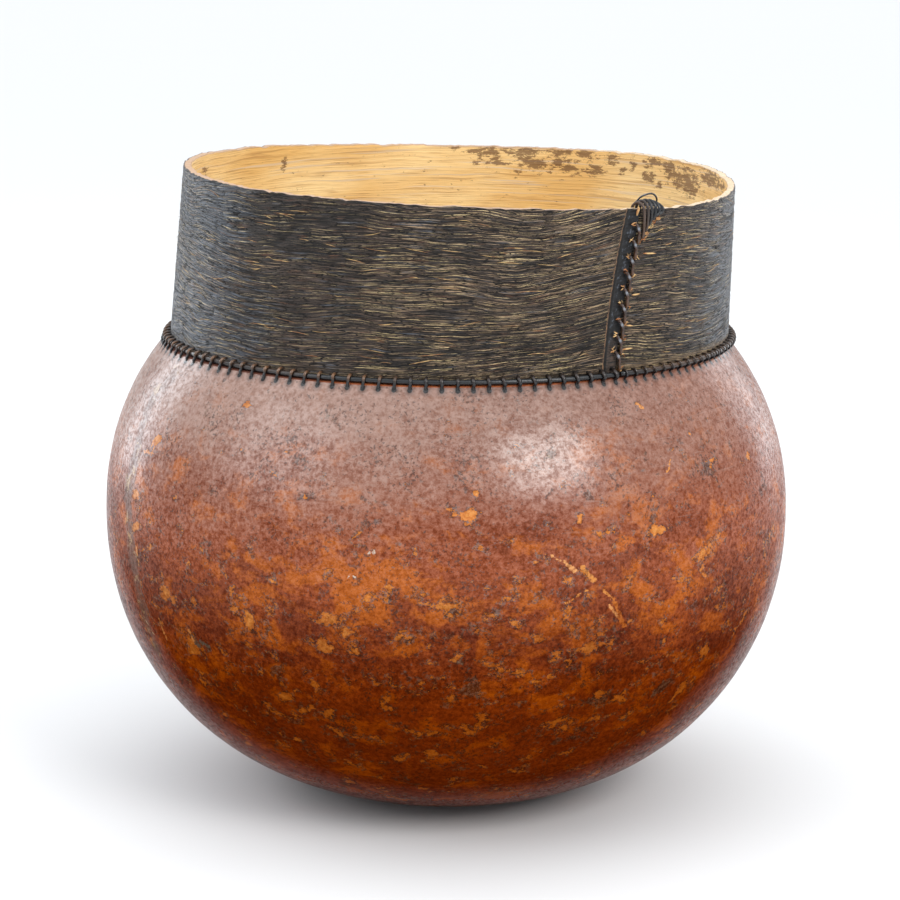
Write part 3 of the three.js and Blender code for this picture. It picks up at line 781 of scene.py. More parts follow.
# Bark where a knife has cut across it: the outer layer brown, the rest paler, and a painted shadow in the gap
# beside the tongue
def makeCutBark(name, skin, dark, light, skinDepth):
    material, shader = newMaterial(name, Roughness=0.8)
    place = objectPlace()
    grain = noise(place, 620, detail=4, roughness=0.75)
    colour = mixColour(band(grain, 0.35, 0.6), dark, light)
    deep = mark("depth") + (grain - 0.5) * 0.5
    colour = mixColour(band(deep, skinDepth, skinDepth + 0.18), skin, colour)
    colour = mixColour(mark("paintedGapShadow"), colour, barkLooks["crack"])
    link(colour, shader["Base Color"])
    link(bump(grain, 0.5, 0.0005), shader["Normal"])
    return material


# Low and high of each effect, as in barkBands
rimBands = {
    "cleanSide": (0.05, 0.11), "clean": (0.2, 0.7), "grain": (0.58, 0.4, 0.0, 0.3), "skin": (0.24, 0.1),
}


# The rim's face: pale and clean on the right, greyer and rubbed elsewhere
def makeBarkRim():
    material, shader = newMaterial("bark rim", Roughness=0.75)
    place = objectPlace()
    grain = noise(place, 560, detail=4, roughness=0.75)
    rubs = noise(place, 110, detail=4, roughness=0.7)
    side = separated(place)[0]
    clean = band(side, *rimBands["cleanSide"]) + (rubs - 0.5) * 1.6
    colour = mixColour(band(clean, *rimBands["clean"]), barkLooks["rimDull"], barkLooks["cream"])
    colour = mixColour(band(grain, *rimBands["grain"]), colour, barkLooks["amber"])
    deep = mark("depth") + (rubs - 0.5) * 0.7
    colour = mixColour(band(deep, *rimBands["skin"]), colour, barkLooks["rimSkin"])
    link(colour, shader["Base Color"])
    link(bump(grain, 0.5, 0.0005), shader["Normal"])
    return material


# Low and high of each effect, as in barkBands
innerBands = {
    "gold": (0.36, 0.66), "amberStrand": (0.53, 0.68, 0.0, 0.45), "amberThread": (0.55, 0.68, 0.0, 0.5),
    "creamTuft": (0.58, 0.7, 0.0, 0.6), "mould": (0.49, 0.72), "roughness": (0.3, 0.7, 0.5, 0.68),
}


# The inner side of the bark: golden, with fine level grain, pale lines and brown mould
def makeBarkInside():
    material, shader = newMaterial("bark inside")
    place = surfacePlace()
    grain = grainOf(place, 0.06, 0.0016, 0.003, 41.0)
    threads = grainOf(place, 0.02, 0.0005, 0.002, 47.0)
    zones = noise(stretched(place, (9, 26, 1)), 1.0, detail=3)
    colour = mixColour(band(zones, *innerBands["gold"]), barkLooks["gold"], barkLooks["paleGold"])
    colour = mixColour(band(grain["Strands"], *innerBands["amberStrand"]), colour, barkLooks["amber"])
    colour = mixColour(band(threads["Strands"], *innerBands["amberThread"]), colour, barkLooks["amber"])
    colour = mixColour(band(grain["Tufts"], *innerBands["creamTuft"]), colour, barkLooks["cream"])
    ragged = noise(stretched(place, (0.6, 1.5, 1)), 250, detail=8, roughness=0.76)
    mould = band(mark("stain") + (ragged - 0.5) * 4.6, *innerBands["mould"])
    colour = mixColour(mould * 0.78, colour, barkLooks["mould"])
    freckles = useGroup(specks, {"Vector": place, "Scale": 420.0, "Share": 0.1})["Specks"]
    colour = mixColour(freckles * 0.5, colour, barkLooks["mould"])
    link(colour, shader["Base Color"])
    link(band(grain["Fine"], *innerBands["roughness"]), shader["Roughness"])
    relief = grain["Strands"] + threads["Strands"] * 0.5
    link(bump(relief, 0.5, 0.0006), shader["Normal"])
    return material


cordLooks = screenColours({
    "black": (9, 9, 10), "steel": (24, 27, 31), "glint": (134, 140, 150), "worn": (132, 94, 64),
    "seam": (66, 38, 20), "seamDark": (24, 15, 10), "splinterPale": (180, 148, 96),
    "splinterDark": (116, 76, 42), "tuftPale": (196, 160, 106), "tuftDark": (150, 92, 44),
})


# Waxed cord: faint lines along it, brown where its top is rubbed, and pale painted glints
def makeCord(name, dark, light, roughness):
    material, shader = newMaterial(name)
    place = surfacePlace()
    lines = grainOf(place, 0.006, 0.00035, 0.001, 57.0)
    colour = mixColour(band(lines["Strands"], 0.38, 0.62), dark, light)
    wear = mark("worn") * band(lines["Fine"], 0.3, 0.6, 0.5, 1.0)
    colour = mixColour(wear, colour, cordLooks["worn"])
    colour = mixColour(mark("paintedGlint"), colour, cordLooks["glint"])
    link(colour, shader["Base Color"])
    link(band(lines["Fine"], 0.3, 0.7, roughness, roughness + 0.14), shader["Roughness"])
    link(bump(lines["Strands"], 0.35, 0.0002), shader["Normal"])
    return material


# Loose fibres and splinters of the bark
def makeSplinter(name, dark, pale):
    material, shader = newMaterial(name, Roughness=0.6)
    tone = noise(objectPlace(), 190, detail=2)
    link(mixColour(band(tone, 0.4, 0.6), dark, pale), shader["Base Color"])
    return material


gourdSkin = makeGourdSkin()
gourdCut = makeGourdCut()
gourdInside = makeGourdInside()
barkOutside = makeBarkOutside()
tongueBark = makeTongueBark()
barkStep = makeCutBark("cut bark", barkLooks["brown"], barkLooks["dark"], barkLooks["cut"], -0.3)
barkRim = makeBarkRim()
barkInside = makeBarkInside()
darkCord = makeCord("waxed cord", cordLooks["black"], cordLooks["steel"], 0.2)
seamCord = makeCord("seam thread", cordLooks["seamDark"], cordLooks["seam"], 0.18)
looseFibre = makeSplinter("loose fibres", cordLooks["splinterDark"], cordLooks["splinterPale"])
holeFibre = makeSplinter("fibres at the holes", cordLooks["tuftDark"], cordLooks["tuftPale"])
print("finishes made")


# Gourd

stitchRule = {
    "count": 123, "first": 35.6, "sweep": 357.7, "bunching": 22.9, "drift": 39,
}


# The bearing of a joint stitch: close together at the seam, opening out on their way round
def stitchBearing(stitch):
    share = stitch / (stitchRule["count"] - 1)
    bow = share * (1 - share)
    return stitchRule["first"] + stitchRule["sweep"] * share \
        - stitchRule["bunching"] * bow - stitchRule["drift"] * bow * (1 - 2 * share)


# How strongly each point carries marks, from 0 to 1: each mark is a soft leaning oval
def markStrength(bearing, height, radius, marks):
    total = np.zeros(bearing.shape)
    for markBearing, markHeight, halfWidth, halfHeight, lean in marks:
        aside = np.radians(wrapped(bearing - markBearing)) * radius * 1000
        above = height * 1000 - markHeight
        tilt = math.radians(lean)
        along = (aside * math.cos(tilt) + above * math.sin(tilt)) / halfWidth
        across = (above * math.cos(tilt) - aside * math.sin(tilt)) / halfHeight
        total = np.maximum(total, np.exp(-0.7 * (along ** 2 + across ** 2)))
    return total


# How near each point is to a line on the rind, 1 on it and fading over halfWidth millimetres
def lineStrength(bearing, height, radius, line, halfWidth):
    nearest = np.full(bearing.shape, 1e9)
    aside = np.radians(wrapped(bearing)) * radius * 1000
    above = height * 1000
    for (fromBearing, fromHeight), (toBearing, toHeight) in zip(line, line[1:]):
        startX, startZ = np.radians(fromBearing) * radius * 1000, fromHeight
        stepX, stepZ = np.radians(toBearing - fromBearing) * radius * 1000, toHeight - fromHeight
        share = ((aside - startX) * stepX + (above - startZ) * stepZ) / (stepX ** 2 + stepZ ** 2)
        share = np.clip(share, 0, 1)
        away = np.hypot(aside - startX - share * stepX, above - startZ - share * stepZ)
        nearest = np.minimum(nearest, away)
    return np.exp(-(nearest / halfWidth) ** 2)


# Rows run from the middle of the flat spot up the outside, over the cut and down the inside
def makeGourd():
    rows = gourd["rows"]
    columns = gourd["columns"]
    bearing = stitchBearing(0) - 1.2 + 360 * np.arange(columns + 1) / columns
    mouth = mouthAt(gourd["mouthRadius"] * np.sin(np.radians(bearing)))
    wall, rounding = gourd["wall"], gourd["edgeRounding"]

    def wallRows(share, inset, cut):
        top = turnAtHeight(cut, inset)[None, :]
        turn = np.where(share[:, None] < 0, 90 * share[:, None], top * share[:, None])
        return wallPoint(turn, inset)

    restRadius = np.linspace(gourd["poleRadius"], gourd["restRadius"], rows["rest"], endpoint=False)
    outsideShare = np.concatenate([
        np.linspace(-1, 0, rows["lower"], endpoint=False), np.linspace(0, 1, rows["upper"]),
    ])
    insideShare = np.concatenate([
        np.linspace(1, 0, rows["insideUpper"], endpoint=False), np.linspace(0, -1, rows["insideLower"]),
    ])
    spread = np.ones(columns + 1)
    outRadius, outHeight = wallRows(outsideShare, 0, mouth - rounding)
    inRadius, inHeight = wallRows(insideShare, wall, mouth - rounding)
    edgeShare = np.linspace(0, 1, rows["edge"] + 2)[:, None]
    edgeRadius = (outRadius[-1] - rounding) * (1 - edgeShare) + (inRadius[0] + rounding) * edgeShare
    edgeHeight = np.broadcast_to(mouth, edgeRadius.shape)
    flatSpot = np.zeros((rows["rest"], columns + 1))
    radius = np.concatenate([
        restRadius[:, None] * spread, outRadius, edgeRadius, inRadius, restRadius[::-1, None] * spread,
    ])
    height = np.concatenate([flatSpot, outHeight, edgeHeight, inHeight, wall + flatSpot])
    counts = [rows["rest"], len(outsideShare), rows["edge"] + 2, len(insideShare), rows["rest"]]
    starts = np.cumsum([0] + counts)
    outside = slice(0, starts[2])
    inside = slice(starts[3], starts[5])

    # Low dents and ripples, always inwards so that the belly stays at its real size
    points = placeAt(bearing, radius, height)
    points[:, -1] = points[:, 0]
    dent = 0.5 + 0.5 * np.clip(softNoise(points / 0.07, 5), -1, 1)
    ripple = 0.5 + 0.5 * np.clip(layeredNoise(points / 0.012, 9, 2), -1, 1)
    girth = np.maximum(radius, 0.02)
    marks = {
        key: markStrength(bearing[None, :], height, girth, places) for key, places in gourdMarks.items()
    }
    marks["scar"] = lineStrength(bearing[None, :] + 0 * height, height, girth, scarLine, scarHalfWidth)
    sink = gourd["dentDepth"] * dent + gourd["rippleDepth"] * ripple + gourd["scarDepth"] * marks["scar"]
    seated = easeBetween(height, 0.0, 0.02) * easeBetween(mouth[None, :] - height, -0.0002, 0.006)
    shrink = np.zeros(radius.shape)
    shrink[outside] = (sink * seated)[outside]
    shrink[inside] = -(gourd["innerSwell"] * layeredNoise(points / 0.03, 15, 3) * seated)[inside]
    radius = radius - shrink
    swell = gourd["bottomSwell"] * layeredNoise(points[inside] / 0.03, 23, 2)
    height[inside] += swell * easeBetween(radius[inside], 0.14, 0.06)
    points = placeAt(bearing, radius, height)[:, :columns]

    total = len(radius)
    faces = gridFaces(total, columns, closedColumns=True)
    wide = gridFaces(total, columns + 1)
    stitches = np.arange(-2, stitchRule["count"] + 2)
    stitch = np.interp(bearing, stitchBearing(stitches), stitches)
    surface = np.stack([stitch + 0 * radius, mouth - height], axis=-1).reshape(-1, 2)
    ends = [list(range(columns - 1, -1, -1)), list(range((total - 1) * columns, total * columns))]
    row = np.repeat(np.arange(total - 1), columns)
    looks = np.select([row < starts[2] - 1, row < starts[3]], [0, 1], 2)
    return makePiece(
        "gourd_rind", points, faces.tolist() + ends, [gourdSkin, gourdCut, gourdInside],
        looks=np.append(looks, [0, 2]), cornerUv=surface[wide].reshape(-1, 2),
        marks={key: values[:, :columns] for key, values in marks.items()},
    )


gourdPiece = makeGourd()
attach(gourdPiece, "root")
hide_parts("gourd_bowl")
print("gourd made,", len(gourdPiece.data.polygons), "faces")


# Bark collar

collar = {
    "referenceHeight": 0.246, "rise": 0.080, "baseRadius": 0.14595, "narrowing": 0.00265,
    "baseOffset": 0.0005, "lean": 0.0036, "thickness": 0.0042,
    "rimHeight": 0.32625, "rimWaves": [(1, 0.0029, 98.5), (2, 0.00127, 111), (3, 0.00101, -9.6)],
    "footGap": 0.0001, "columnStep": 0.9, "outerRows": 168, "innerRows": 38, "rimRows": 4,
    "rounding": 0.0006, "ridgeDepth": 0.00038, "creaseDepth": 0.0006, "nickDepth": 0.0009,
    "grainDepth": 0.00025, "rimBumpDepth": 0.0003, "innerCrowding": 1.35,
    # Drift of the strands: strength, length along and up the strip, seed
    "drifts": [(0.0042, 0.080, 0.045, 31), (0.0013, 0.026, 0.016, 32), (0.0004, 0.009, 0.006, 36)],
    "seamClimb": 0.0070, "seamClimbAt": (0.845, 0.93),
}
seam = {
    "bearing": 34, "slant": 1.5, "curve": 3.2, "straightReach": 12, "fadeReach": 60,
    "underlap": 7.4, "tongueWidth": 3.3, "overThickness": 0.00215, "tongueStep": 0.0010, "lapGap": 0.0002,
    # The last two entries give the painted shadow in the gap at the tongue's edge
    "narrowing": 0.75, "gapAt": (-0.35, -0.12, 0.0, 0.12, 0.5), "paintedGapShadow": (0, 1, 1, 1, 0),
}
# Along the strip, in degrees: where the tongue's cut starts, and where the strip thins for its lap
tongueEdge = 360 - seam["tongueWidth"]
lapEdge = 360 - seam["underlap"] - 1

# Where the bark's finish changes, in degrees: each pair is where a change starts and ends
barkZones = {
    # The grey zones set the painted sheen on the collar's left and right sides, fading behind
    "greyLeft": (30, 60), "greyRight": (52, 74), "greyBehind": (200, 90),
    "hairyFrom": (-24, -6), "hairyTo": (75, 45), "hairyLeft": (34, 50),
    "dustyFrom": (-5, 1), "dustyTo": (75, 30),
}

# Diagonal creases across the strip: bearing and height in mm of both ends
barkCreases = [
    [(-29.5, 324), (-36, 305)], [(-24, 296), (-30, 284)], [(-38, 300), (-44, 291)], [(-47, 292), (-42, 284)],
    [(-14, 262), (-3, 267)], [(12, 280), (20, 283)], [(60, 300), (68, 292)], [(-80, 310), (-88, 296)],
    [(-27.5, 296), (-21, 268)], [(-52, 318), (-45, 305)], [(120, 318), (112, 300)], [(160, 290), (170, 281)],
    [(-140, 305), (-133, 290)], [(200, 270), (210, 276)],
]

# Mould on the inner side: bearing, height, half width and half height in mm, lean in degrees
barkMould = [
    (-179.4, 324, 3, 2.2, 0), (173.6, 322, 11, 3.0, 0), (164.2, 322, 11, 3.4, 0),
    (156.0, 323, 8, 3.2, 0), (149.4, 323, 7, 2.8, 0), (142.0, 322, 5, 2.8, 0),
    (175.6, 316, 2.4, 2.0, 0), (170.6, 315.5, 8, 2.0, 0), (162.4, 316, 9.5, 4.2, 0),
    (156.4, 317, 5, 3.2, 0), (153.2, 315, 6.5, 3.4, 0), (147.0, 314.5, 6.5, 3.2, 0),
    (136.2, 320, 2.4, 3.6, 0), (139.0, 316, 2.4, 2.0, 0), (130.0, 323, 6.5, 2.6, 0),
    (131.4, 314, 5, 3.6, 0), (124.2, 320, 9, 4.0, 0), (117.8, 316, 15, 6.2, 0),
    (106.0, 320, 16, 4.4, 0), (127.4, 311, 3.4, 2.0, 0), (115.8, 311.5, 11, 3.6, 0),
    (97.4, 319, 12, 2.4, 0), (-136.6, 317, 2.2, 3.0, 0), (-104.6, 320, 5.2, 2.0, 0),
    (60, 300, 10, 5, 0), (-40, 300, 12, 5, 0), (20, 290, 10, 6, 0), (-70, 310, 8, 4, 0),
    (-10, 318, 9, 3, 0),
]


# The seam's bearing at a height: it leans, more so near the top
def seamBearing(height):
    climb = (height - collar["referenceHeight"]) / collar["rise"]
    return seam["bearing"] + seam["slant"] * climb + seam["curve"] * climb ** 2


# A point of the collar: inset is measured inwards from its outer face
def collarPoint(bearing, height, inset):
    climb = (height - collar["referenceHeight"]) / collar["rise"]
    radius = collar["baseRadius"] - collar["narrowing"] * climb - inset
    points = placeAt(bearing, radius, height)
    points[..., 0] += collar["baseOffset"] + collar["lean"] * climb
    return points


def rimHeight(bearing):
    return collar["rimHeight"] + sum(
        height * np.cos(np.radians(cycles * bearing + phase)) for cycles, height, phase in collar["rimWaves"]
    )


def footHeight(bearing):
    point = collarPoint(bearing, gourd["mouthHeight"], 0)
    return mouthAt(point[..., 0]) + collar["footGap"]


# How far along the strip's outer and inner faces lie inside the collar's outer surface
def stripFaces(along):
    under = seam["overThickness"] + seam["lapGap"]
    full, over = collar["thickness"], seam["overThickness"]
    outer = np.interp(
        along,
        [-seam["underlap"], 1 - seam["underlap"], 0.05, 0.45, 0.8,
         *(tongueEdge + np.array([-0.8, -0.3, -0.12, 0, 0.12])), 359.6, 359.9, 360],
        [under + 0.0006, under, under, 0.0005, 0,
         0, 0.0008, 0.0015, 0.0016, seam["tongueStep"], seam["tongueStep"], 0.0009, 0.0013],
    )
    inner = np.interp(along, [lapEdge, lapEdge + 0.6], [full, over])
    return outer, inner


# Distances along the strip in degrees, closer together where it is cut
def stripColumns():
    even = np.arange(1.2, tongueEdge - 1, collar["columnStep"])
    cuts = [
        -seam["underlap"], 1 - seam["underlap"], -4.5, -2.8, -1.4, -0.4, 0.05, 0.2, 0.45, 0.8,
        *(tongueEdge + np.array([-0.8, -0.55, -0.3, -0.12, 0, 0.12, 0.5, 1, 1.5, 2, 2.5])),
        359.3, 359.6, 359.8, 359.9, 360, lapEdge, lapEdge + 0.6,
    ]
    return np.unique(np.concatenate([even[np.abs(even - lapEdge) > 0.5], cuts]))


# How far the strands stray up or down the strip: long swells, short waves, and a climb towards the
# seam from its left
def strandDrift(along, up):
    stray = sum(
        strength * flatNoise(along / length, up / width, seed)
        for strength, length, width, seed in collar["drifts"]
    )
    return stray - collar["seamClimb"] * easeBetween(along, *collar["seamClimbAt"])


# Bark strands from 0 in a groove to 1 on a crest. The grooves follow the zero lines of two soft
# noises that are long along the strip, so they run level, fork and close on themselves.
def barkRidges(along, across):
    broad = flatNoise(along / 0.042, across / 0.0032, 33)
    narrow = flatNoise(along / 0.020, across / 0.0017, 34)
    soft = 0.5 + 0.5 * flatNoise(along / 0.012, across / 0.0013, 37)
    patchy = 0.5 + 0.5 * flatNoise(along / 0.04, across / 0.02, 35)
    grooves = np.maximum(np.exp(-(broad / 0.11) ** 2), (0.3 + 0.4 * patchy) * np.exp(-(narrow / 0.15) ** 2))
    return np.clip((1 - grooves) * (0.72 + 0.28 * soft), 0, 1)


# Rows run up the outer face, over the rim, down the inner face and back under the foot
def makeCollar():
    along = stripColumns()
    flat = seam["bearing"] + along
    reach = np.minimum(np.abs(along), np.abs(360 - along))
    follow = 1 - easeBetween(reach, seam["straightReach"], seam["fadeReach"])
    foot, rim = footHeight(flat), rimHeight(flat)
    nick = flatNoise(flat / 2.3, 0, 51) + 0.6 * flatNoise(flat / 0.9, 0, 52)
    rim = rim - collar["nickDepth"] * np.clip(0.5 + 0.5 * nick, 0, 1.2)
    outer, inner = stripFaces(along)
    rounding = collar["rounding"]

    faceShare = np.linspace(0, 1, collar["outerRows"])[:, None]
    outerHeight = foot + rounding + faceShare * (rim - foot - 2 * rounding)
    innerShare = 1 - np.linspace(0, 1, collar["innerRows"])[:, None] ** collar["innerCrowding"]
    innerHeight = foot + rounding + innerShare * (rim - foot - 2 * rounding)
    rimShare = np.linspace(0, 1, collar["rimRows"])[:, None]
    rimInset = outer + rounding + rimShare * (inner - outer - 2 * rounding)
    corner = rounding * 0.3
    height = np.concatenate([
        [foot], outerHeight, [rim - corner], np.broadcast_to(rim, rimInset.shape), [rim - corner],
        innerHeight, [foot],
    ])
    inset = np.concatenate([
        [outer + rounding], outer + 0 * outerHeight, [outer + corner], rimInset, [inner - corner],
        inner + 0 * innerHeight, [inner - rounding],
    ])
    outerRows = slice(1, 1 + collar["outerRows"])
    rimRows = slice(2 + collar["outerRows"], 2 + collar["outerRows"] + collar["rimRows"])
    innerRows = slice(len(height) - 1 - collar["innerRows"], len(height) - 1)

    distance = np.radians(along) * collar["baseRadius"] + 0 * height
    up = height - foot
    drift = strandDrift(distance, up)
    drift[innerRows] *= 0.3
    strand = up + drift
    ridge = barkRidges(distance, strand)
    bearings = flat + 0 * height
    crease = sum(lineStrength(bearings, height, collar["baseRadius"], line, 1.0) for line in barkCreases)
    plain = easeBetween(reach, 0.3, 2.0)
    depth = np.where(along > tongueEdge, 0.15, 0.35 + 0.65 * plain)
    relief = collar["ridgeDepth"] * (1 - ridge) * depth
    relief = relief + collar["creaseDepth"] * np.clip(crease, 0, 1) * plain
    inset[outerRows] += relief[outerRows]
    grain = flatNoise(distance / 0.05, strand / 0.004, 61)
    inset[innerRows] -= collar["grainDepth"] * (0.5 + 0.5 * grain)[innerRows] * (along < 350)
    bumps = flatNoise(distance / 0.004, inset / 0.0012, 71)
    height[rimRows] -= collar["rimBumpDepth"] * (0.5 + 0.5 * bumps)[rimRows]

    bearing = flat + follow * (seamBearing(height) - seam["bearing"])
    nearEdge = easeBetween(along, tongueEdge - 6, tongueEdge - 0.8)
    nearEdge = nearEdge * easeBetween(along, 359.3, tongueEdge + 0.12)
    low = np.clip((rim - height) / (rim - foot), 0, 1)
    bearing = bearing + seam["narrowing"] * low * nearEdge
    points = collarPoint(bearing, height, inset)
    rows, columns = height.shape
    faces = gridFaces(rows, columns, closedRows=True)
    grid = np.arange(rows * columns).reshape(rows, columns)
    outerLine = np.arange(0, 2 + collar["outerRows"] + collar["rimRows"] // 2)
    innerLine = np.arange(rows - 1, 1 + collar["outerRows"] + collar["rimRows"] // 2, -1)
    startCap = zipFaces(grid[outerLine, 0], grid[innerLine, 0])
    endCap = [face[::-1] for face in zipFaces(grid[outerLine, -1], grid[innerLine, -1])]

    surface = np.stack([distance, strand], axis=-1).reshape(-1, 2)
    quadRow = np.repeat(np.arange(rows), columns - 1)
    quadAlong = np.tile((along[:-1] + along[1:]) / 2, rows)
    isOuter = (quadRow >= 0) & (quadRow <= collar["outerRows"])
    isRim = (quadRow > collar["outerRows"]) & (quadRow <= collar["outerRows"] + collar["rimRows"] + 2)
    looks = np.select(
        [isRim, isOuter & (quadAlong > tongueEdge), isOuter & (quadAlong > tongueEdge - 0.8), isOuter],
        [2, 1, 4, 0], 3,
    )
    looks = np.concatenate([looks, np.full(len(startCap) + len(endCap), 4)])
    mould = markStrength(bearings, height, collar["baseRadius"], barkMould)
    depth = (inset - outer) / (inner - outer)
    dusty = easeBetween(along, *barkZones["dustyFrom"]) * easeBetween(along, *barkZones["dustyTo"])
    dusty = dusty + 0.25 + 0 * height
    side = wrapped(flat)
    # Painted sheen: grey on the collar's left and right sides, fading behind, with some noise
    paintedSideSheen = np.maximum(
        easeBetween(-side, *barkZones["greyLeft"]), easeBetween(side, *barkZones["greyRight"]),
    )
    paintedSideSheen = paintedSideSheen * easeBetween(np.abs(side), *barkZones["greyBehind"])
    paintedSideSheen = paintedSideSheen + 0.3 * flatNoise(distance / 0.03, up / 0.02, 63)
    middle = easeBetween(side, *barkZones["hairyFrom"]) * easeBetween(side, *barkZones["hairyTo"])
    hairy = np.maximum(middle, 0.5 * easeBetween(-side, *barkZones["hairyLeft"])) + 0 * height
    # Painted shadow: near black along the narrow gap beside the tongue's cut edge
    paintedGapShadow = np.interp(along - tongueEdge, seam["gapAt"], seam["paintedGapShadow"]) + 0 * height
    return makePiece(
        "bark_strip", points, faces.tolist() + startCap + endCap,
        [barkOutside, tongueBark, barkRim, barkInside, barkStep],
        looks=looks, cornerUv=surface[faces].reshape(-1, 2),
        marks={
            "ridge": ridge, "stain": mould, "rise": up, "depth": depth, "dusty": dusty,
            "paintedSideSheen": paintedSideSheen, "paintedGapShadow": paintedGapShadow, "hairy": hairy,
        },
    )


collarPiece = makeCollar()
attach(collarPiece, "root")
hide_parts("bark_collar")
print("bark collar made,", len(collarPiece.data.polygons), "faces")


# Cords

cords = {
    "weltRadius": 0.00125, "weltRing": 0.14775, "weltOffset": 0.0003, "weltRise": 0.00172,
    "weltStart": 34.5, "weltSweep": 359.4, "weltSteps": 300, "weltSides": 12,
    "threadWidth": 0.00080, "threadDepth": 0.00068, "threadSides": 8, "threadSteps": 2,
    "stretchAt": (0, 6, 26, 60, 104, 114, 122), "stretch": (0.70, 0.66, 0.74, 0.9, 1.0, 1.15, 1.2),
    "dropAt": (0, 10, 24, 40, 122), "drop": (0.0012, 0.0014, 0.0017, 0.0018, 0.0018),
    "riseAt": (0, 4, 14, 60, 110, 122), "rise": (0.0034, 0.0034, 0.0036, 0.0038, 0.0037, 0.0042),
    "seamWidth": 0.00078, "bindingWidth": 0.00076,
}


# UV for a thread: metres along it and round it
def threadUv(rings):
    middle = rings.mean(axis=1)
    step = np.linalg.norm(np.diff(middle, axis=0, prepend=middle[:1]), axis=1)
    along = np.cumsum(step)[:, None]
    sides = rings.shape[1]
    girth = np.linalg.norm(rings[:, 1] - rings[:, 0], axis=1)[:, None] * np.arange(sides + 1)
    uv = np.stack(np.broadcast_arrays(along, girth), axis=-1).reshape(-1, 2)
    return uv[gridFaces(len(rings), sides + 1)].reshape(-1, 2)


def makeThread(name, path, across, width, depth, sides, material, worn, paintedGlint=0.0):
    rings = threadRings(path, across, width, depth, sides)
    faces = threadFaces(len(rings), sides)
    marks = {"worn": worn, "paintedGlint": paintedGlint + np.zeros(rings.shape[:2])}
    return makePiece(name, rings, faces, [material], cornerUv=threadUv(rings), marks=marks)


def weltPoint(bearing, standOff, rise):
    points = placeAt(bearing, cords["weltRing"] + standOff, 0)
    points[..., 0] += cords["weltOffset"]
    points[..., 2] = mouthAt(points[..., 0]) + cords["weltRise"] + rise
    return points


# The welt cord lies in the corner between the collar and the cut edge, a little unevenly
def makeWelt():
    bearing = cords["weltStart"] + cords["weltSweep"] * np.linspace(0, 1, cords["weltSteps"] + 1)
    wobble = flatNoise(bearing / 9, 0, 81)
    path = weltPoint(bearing, 0.00012 * wobble, 0.00012 * wobble[::-1])
    across = np.tile([0.0, 0.0, 1.0], (len(path), 1))
    radius = cords["weltRadius"] * (1 + 0.04 * flatNoise(bearing / 4, 0, 82))
    side = wrapped(bearing)
    dust = 0.55 * easeBetween(side, 35, 42) * easeBetween(side, 120, 70)
    dust = dust + 0.25 * easeBetween(-side, 20, 40) * easeBetween(side, -120, -80)
    dust = dust * (0.6 + 0.4 * flatNoise(bearing / 1.3, 0, 83))
    girth = ringTurns(cords["weltSides"])
    worn = dust[:, None] * (0.4 + 0.6 * np.cos(girth))[None, :].clip(0)
    return makeThread("welt_line", path, across, radius, radius, cords["weltSides"], darkCord, worn)


# A point on the gourd's wall near the mouth: above is measured from the cut, out along the normal
def wallAt(bearing, above, out, inset=0.0):
    mouth = mouthAt(gourd["mouthRadius"] * np.sin(np.radians(bearing)))
    share = (mouth + above - gourd["bellyHeight"]) / (gourd["upperDepth"] - inset)
    power = gourd["upperPower"]
    size = gourd["bellyRadius"] - inset
    radius = size * (1 - share ** power) ** (1 / power)
    lift = share ** (power - 1) / (gourd["upperDepth"] - inset)
    spread = (radius / size) ** (power - 1) / size
    length = np.hypot(lift, spread)
    return placeAt(bearing, radius + out * spread / length, mouth + above + out * lift / length)


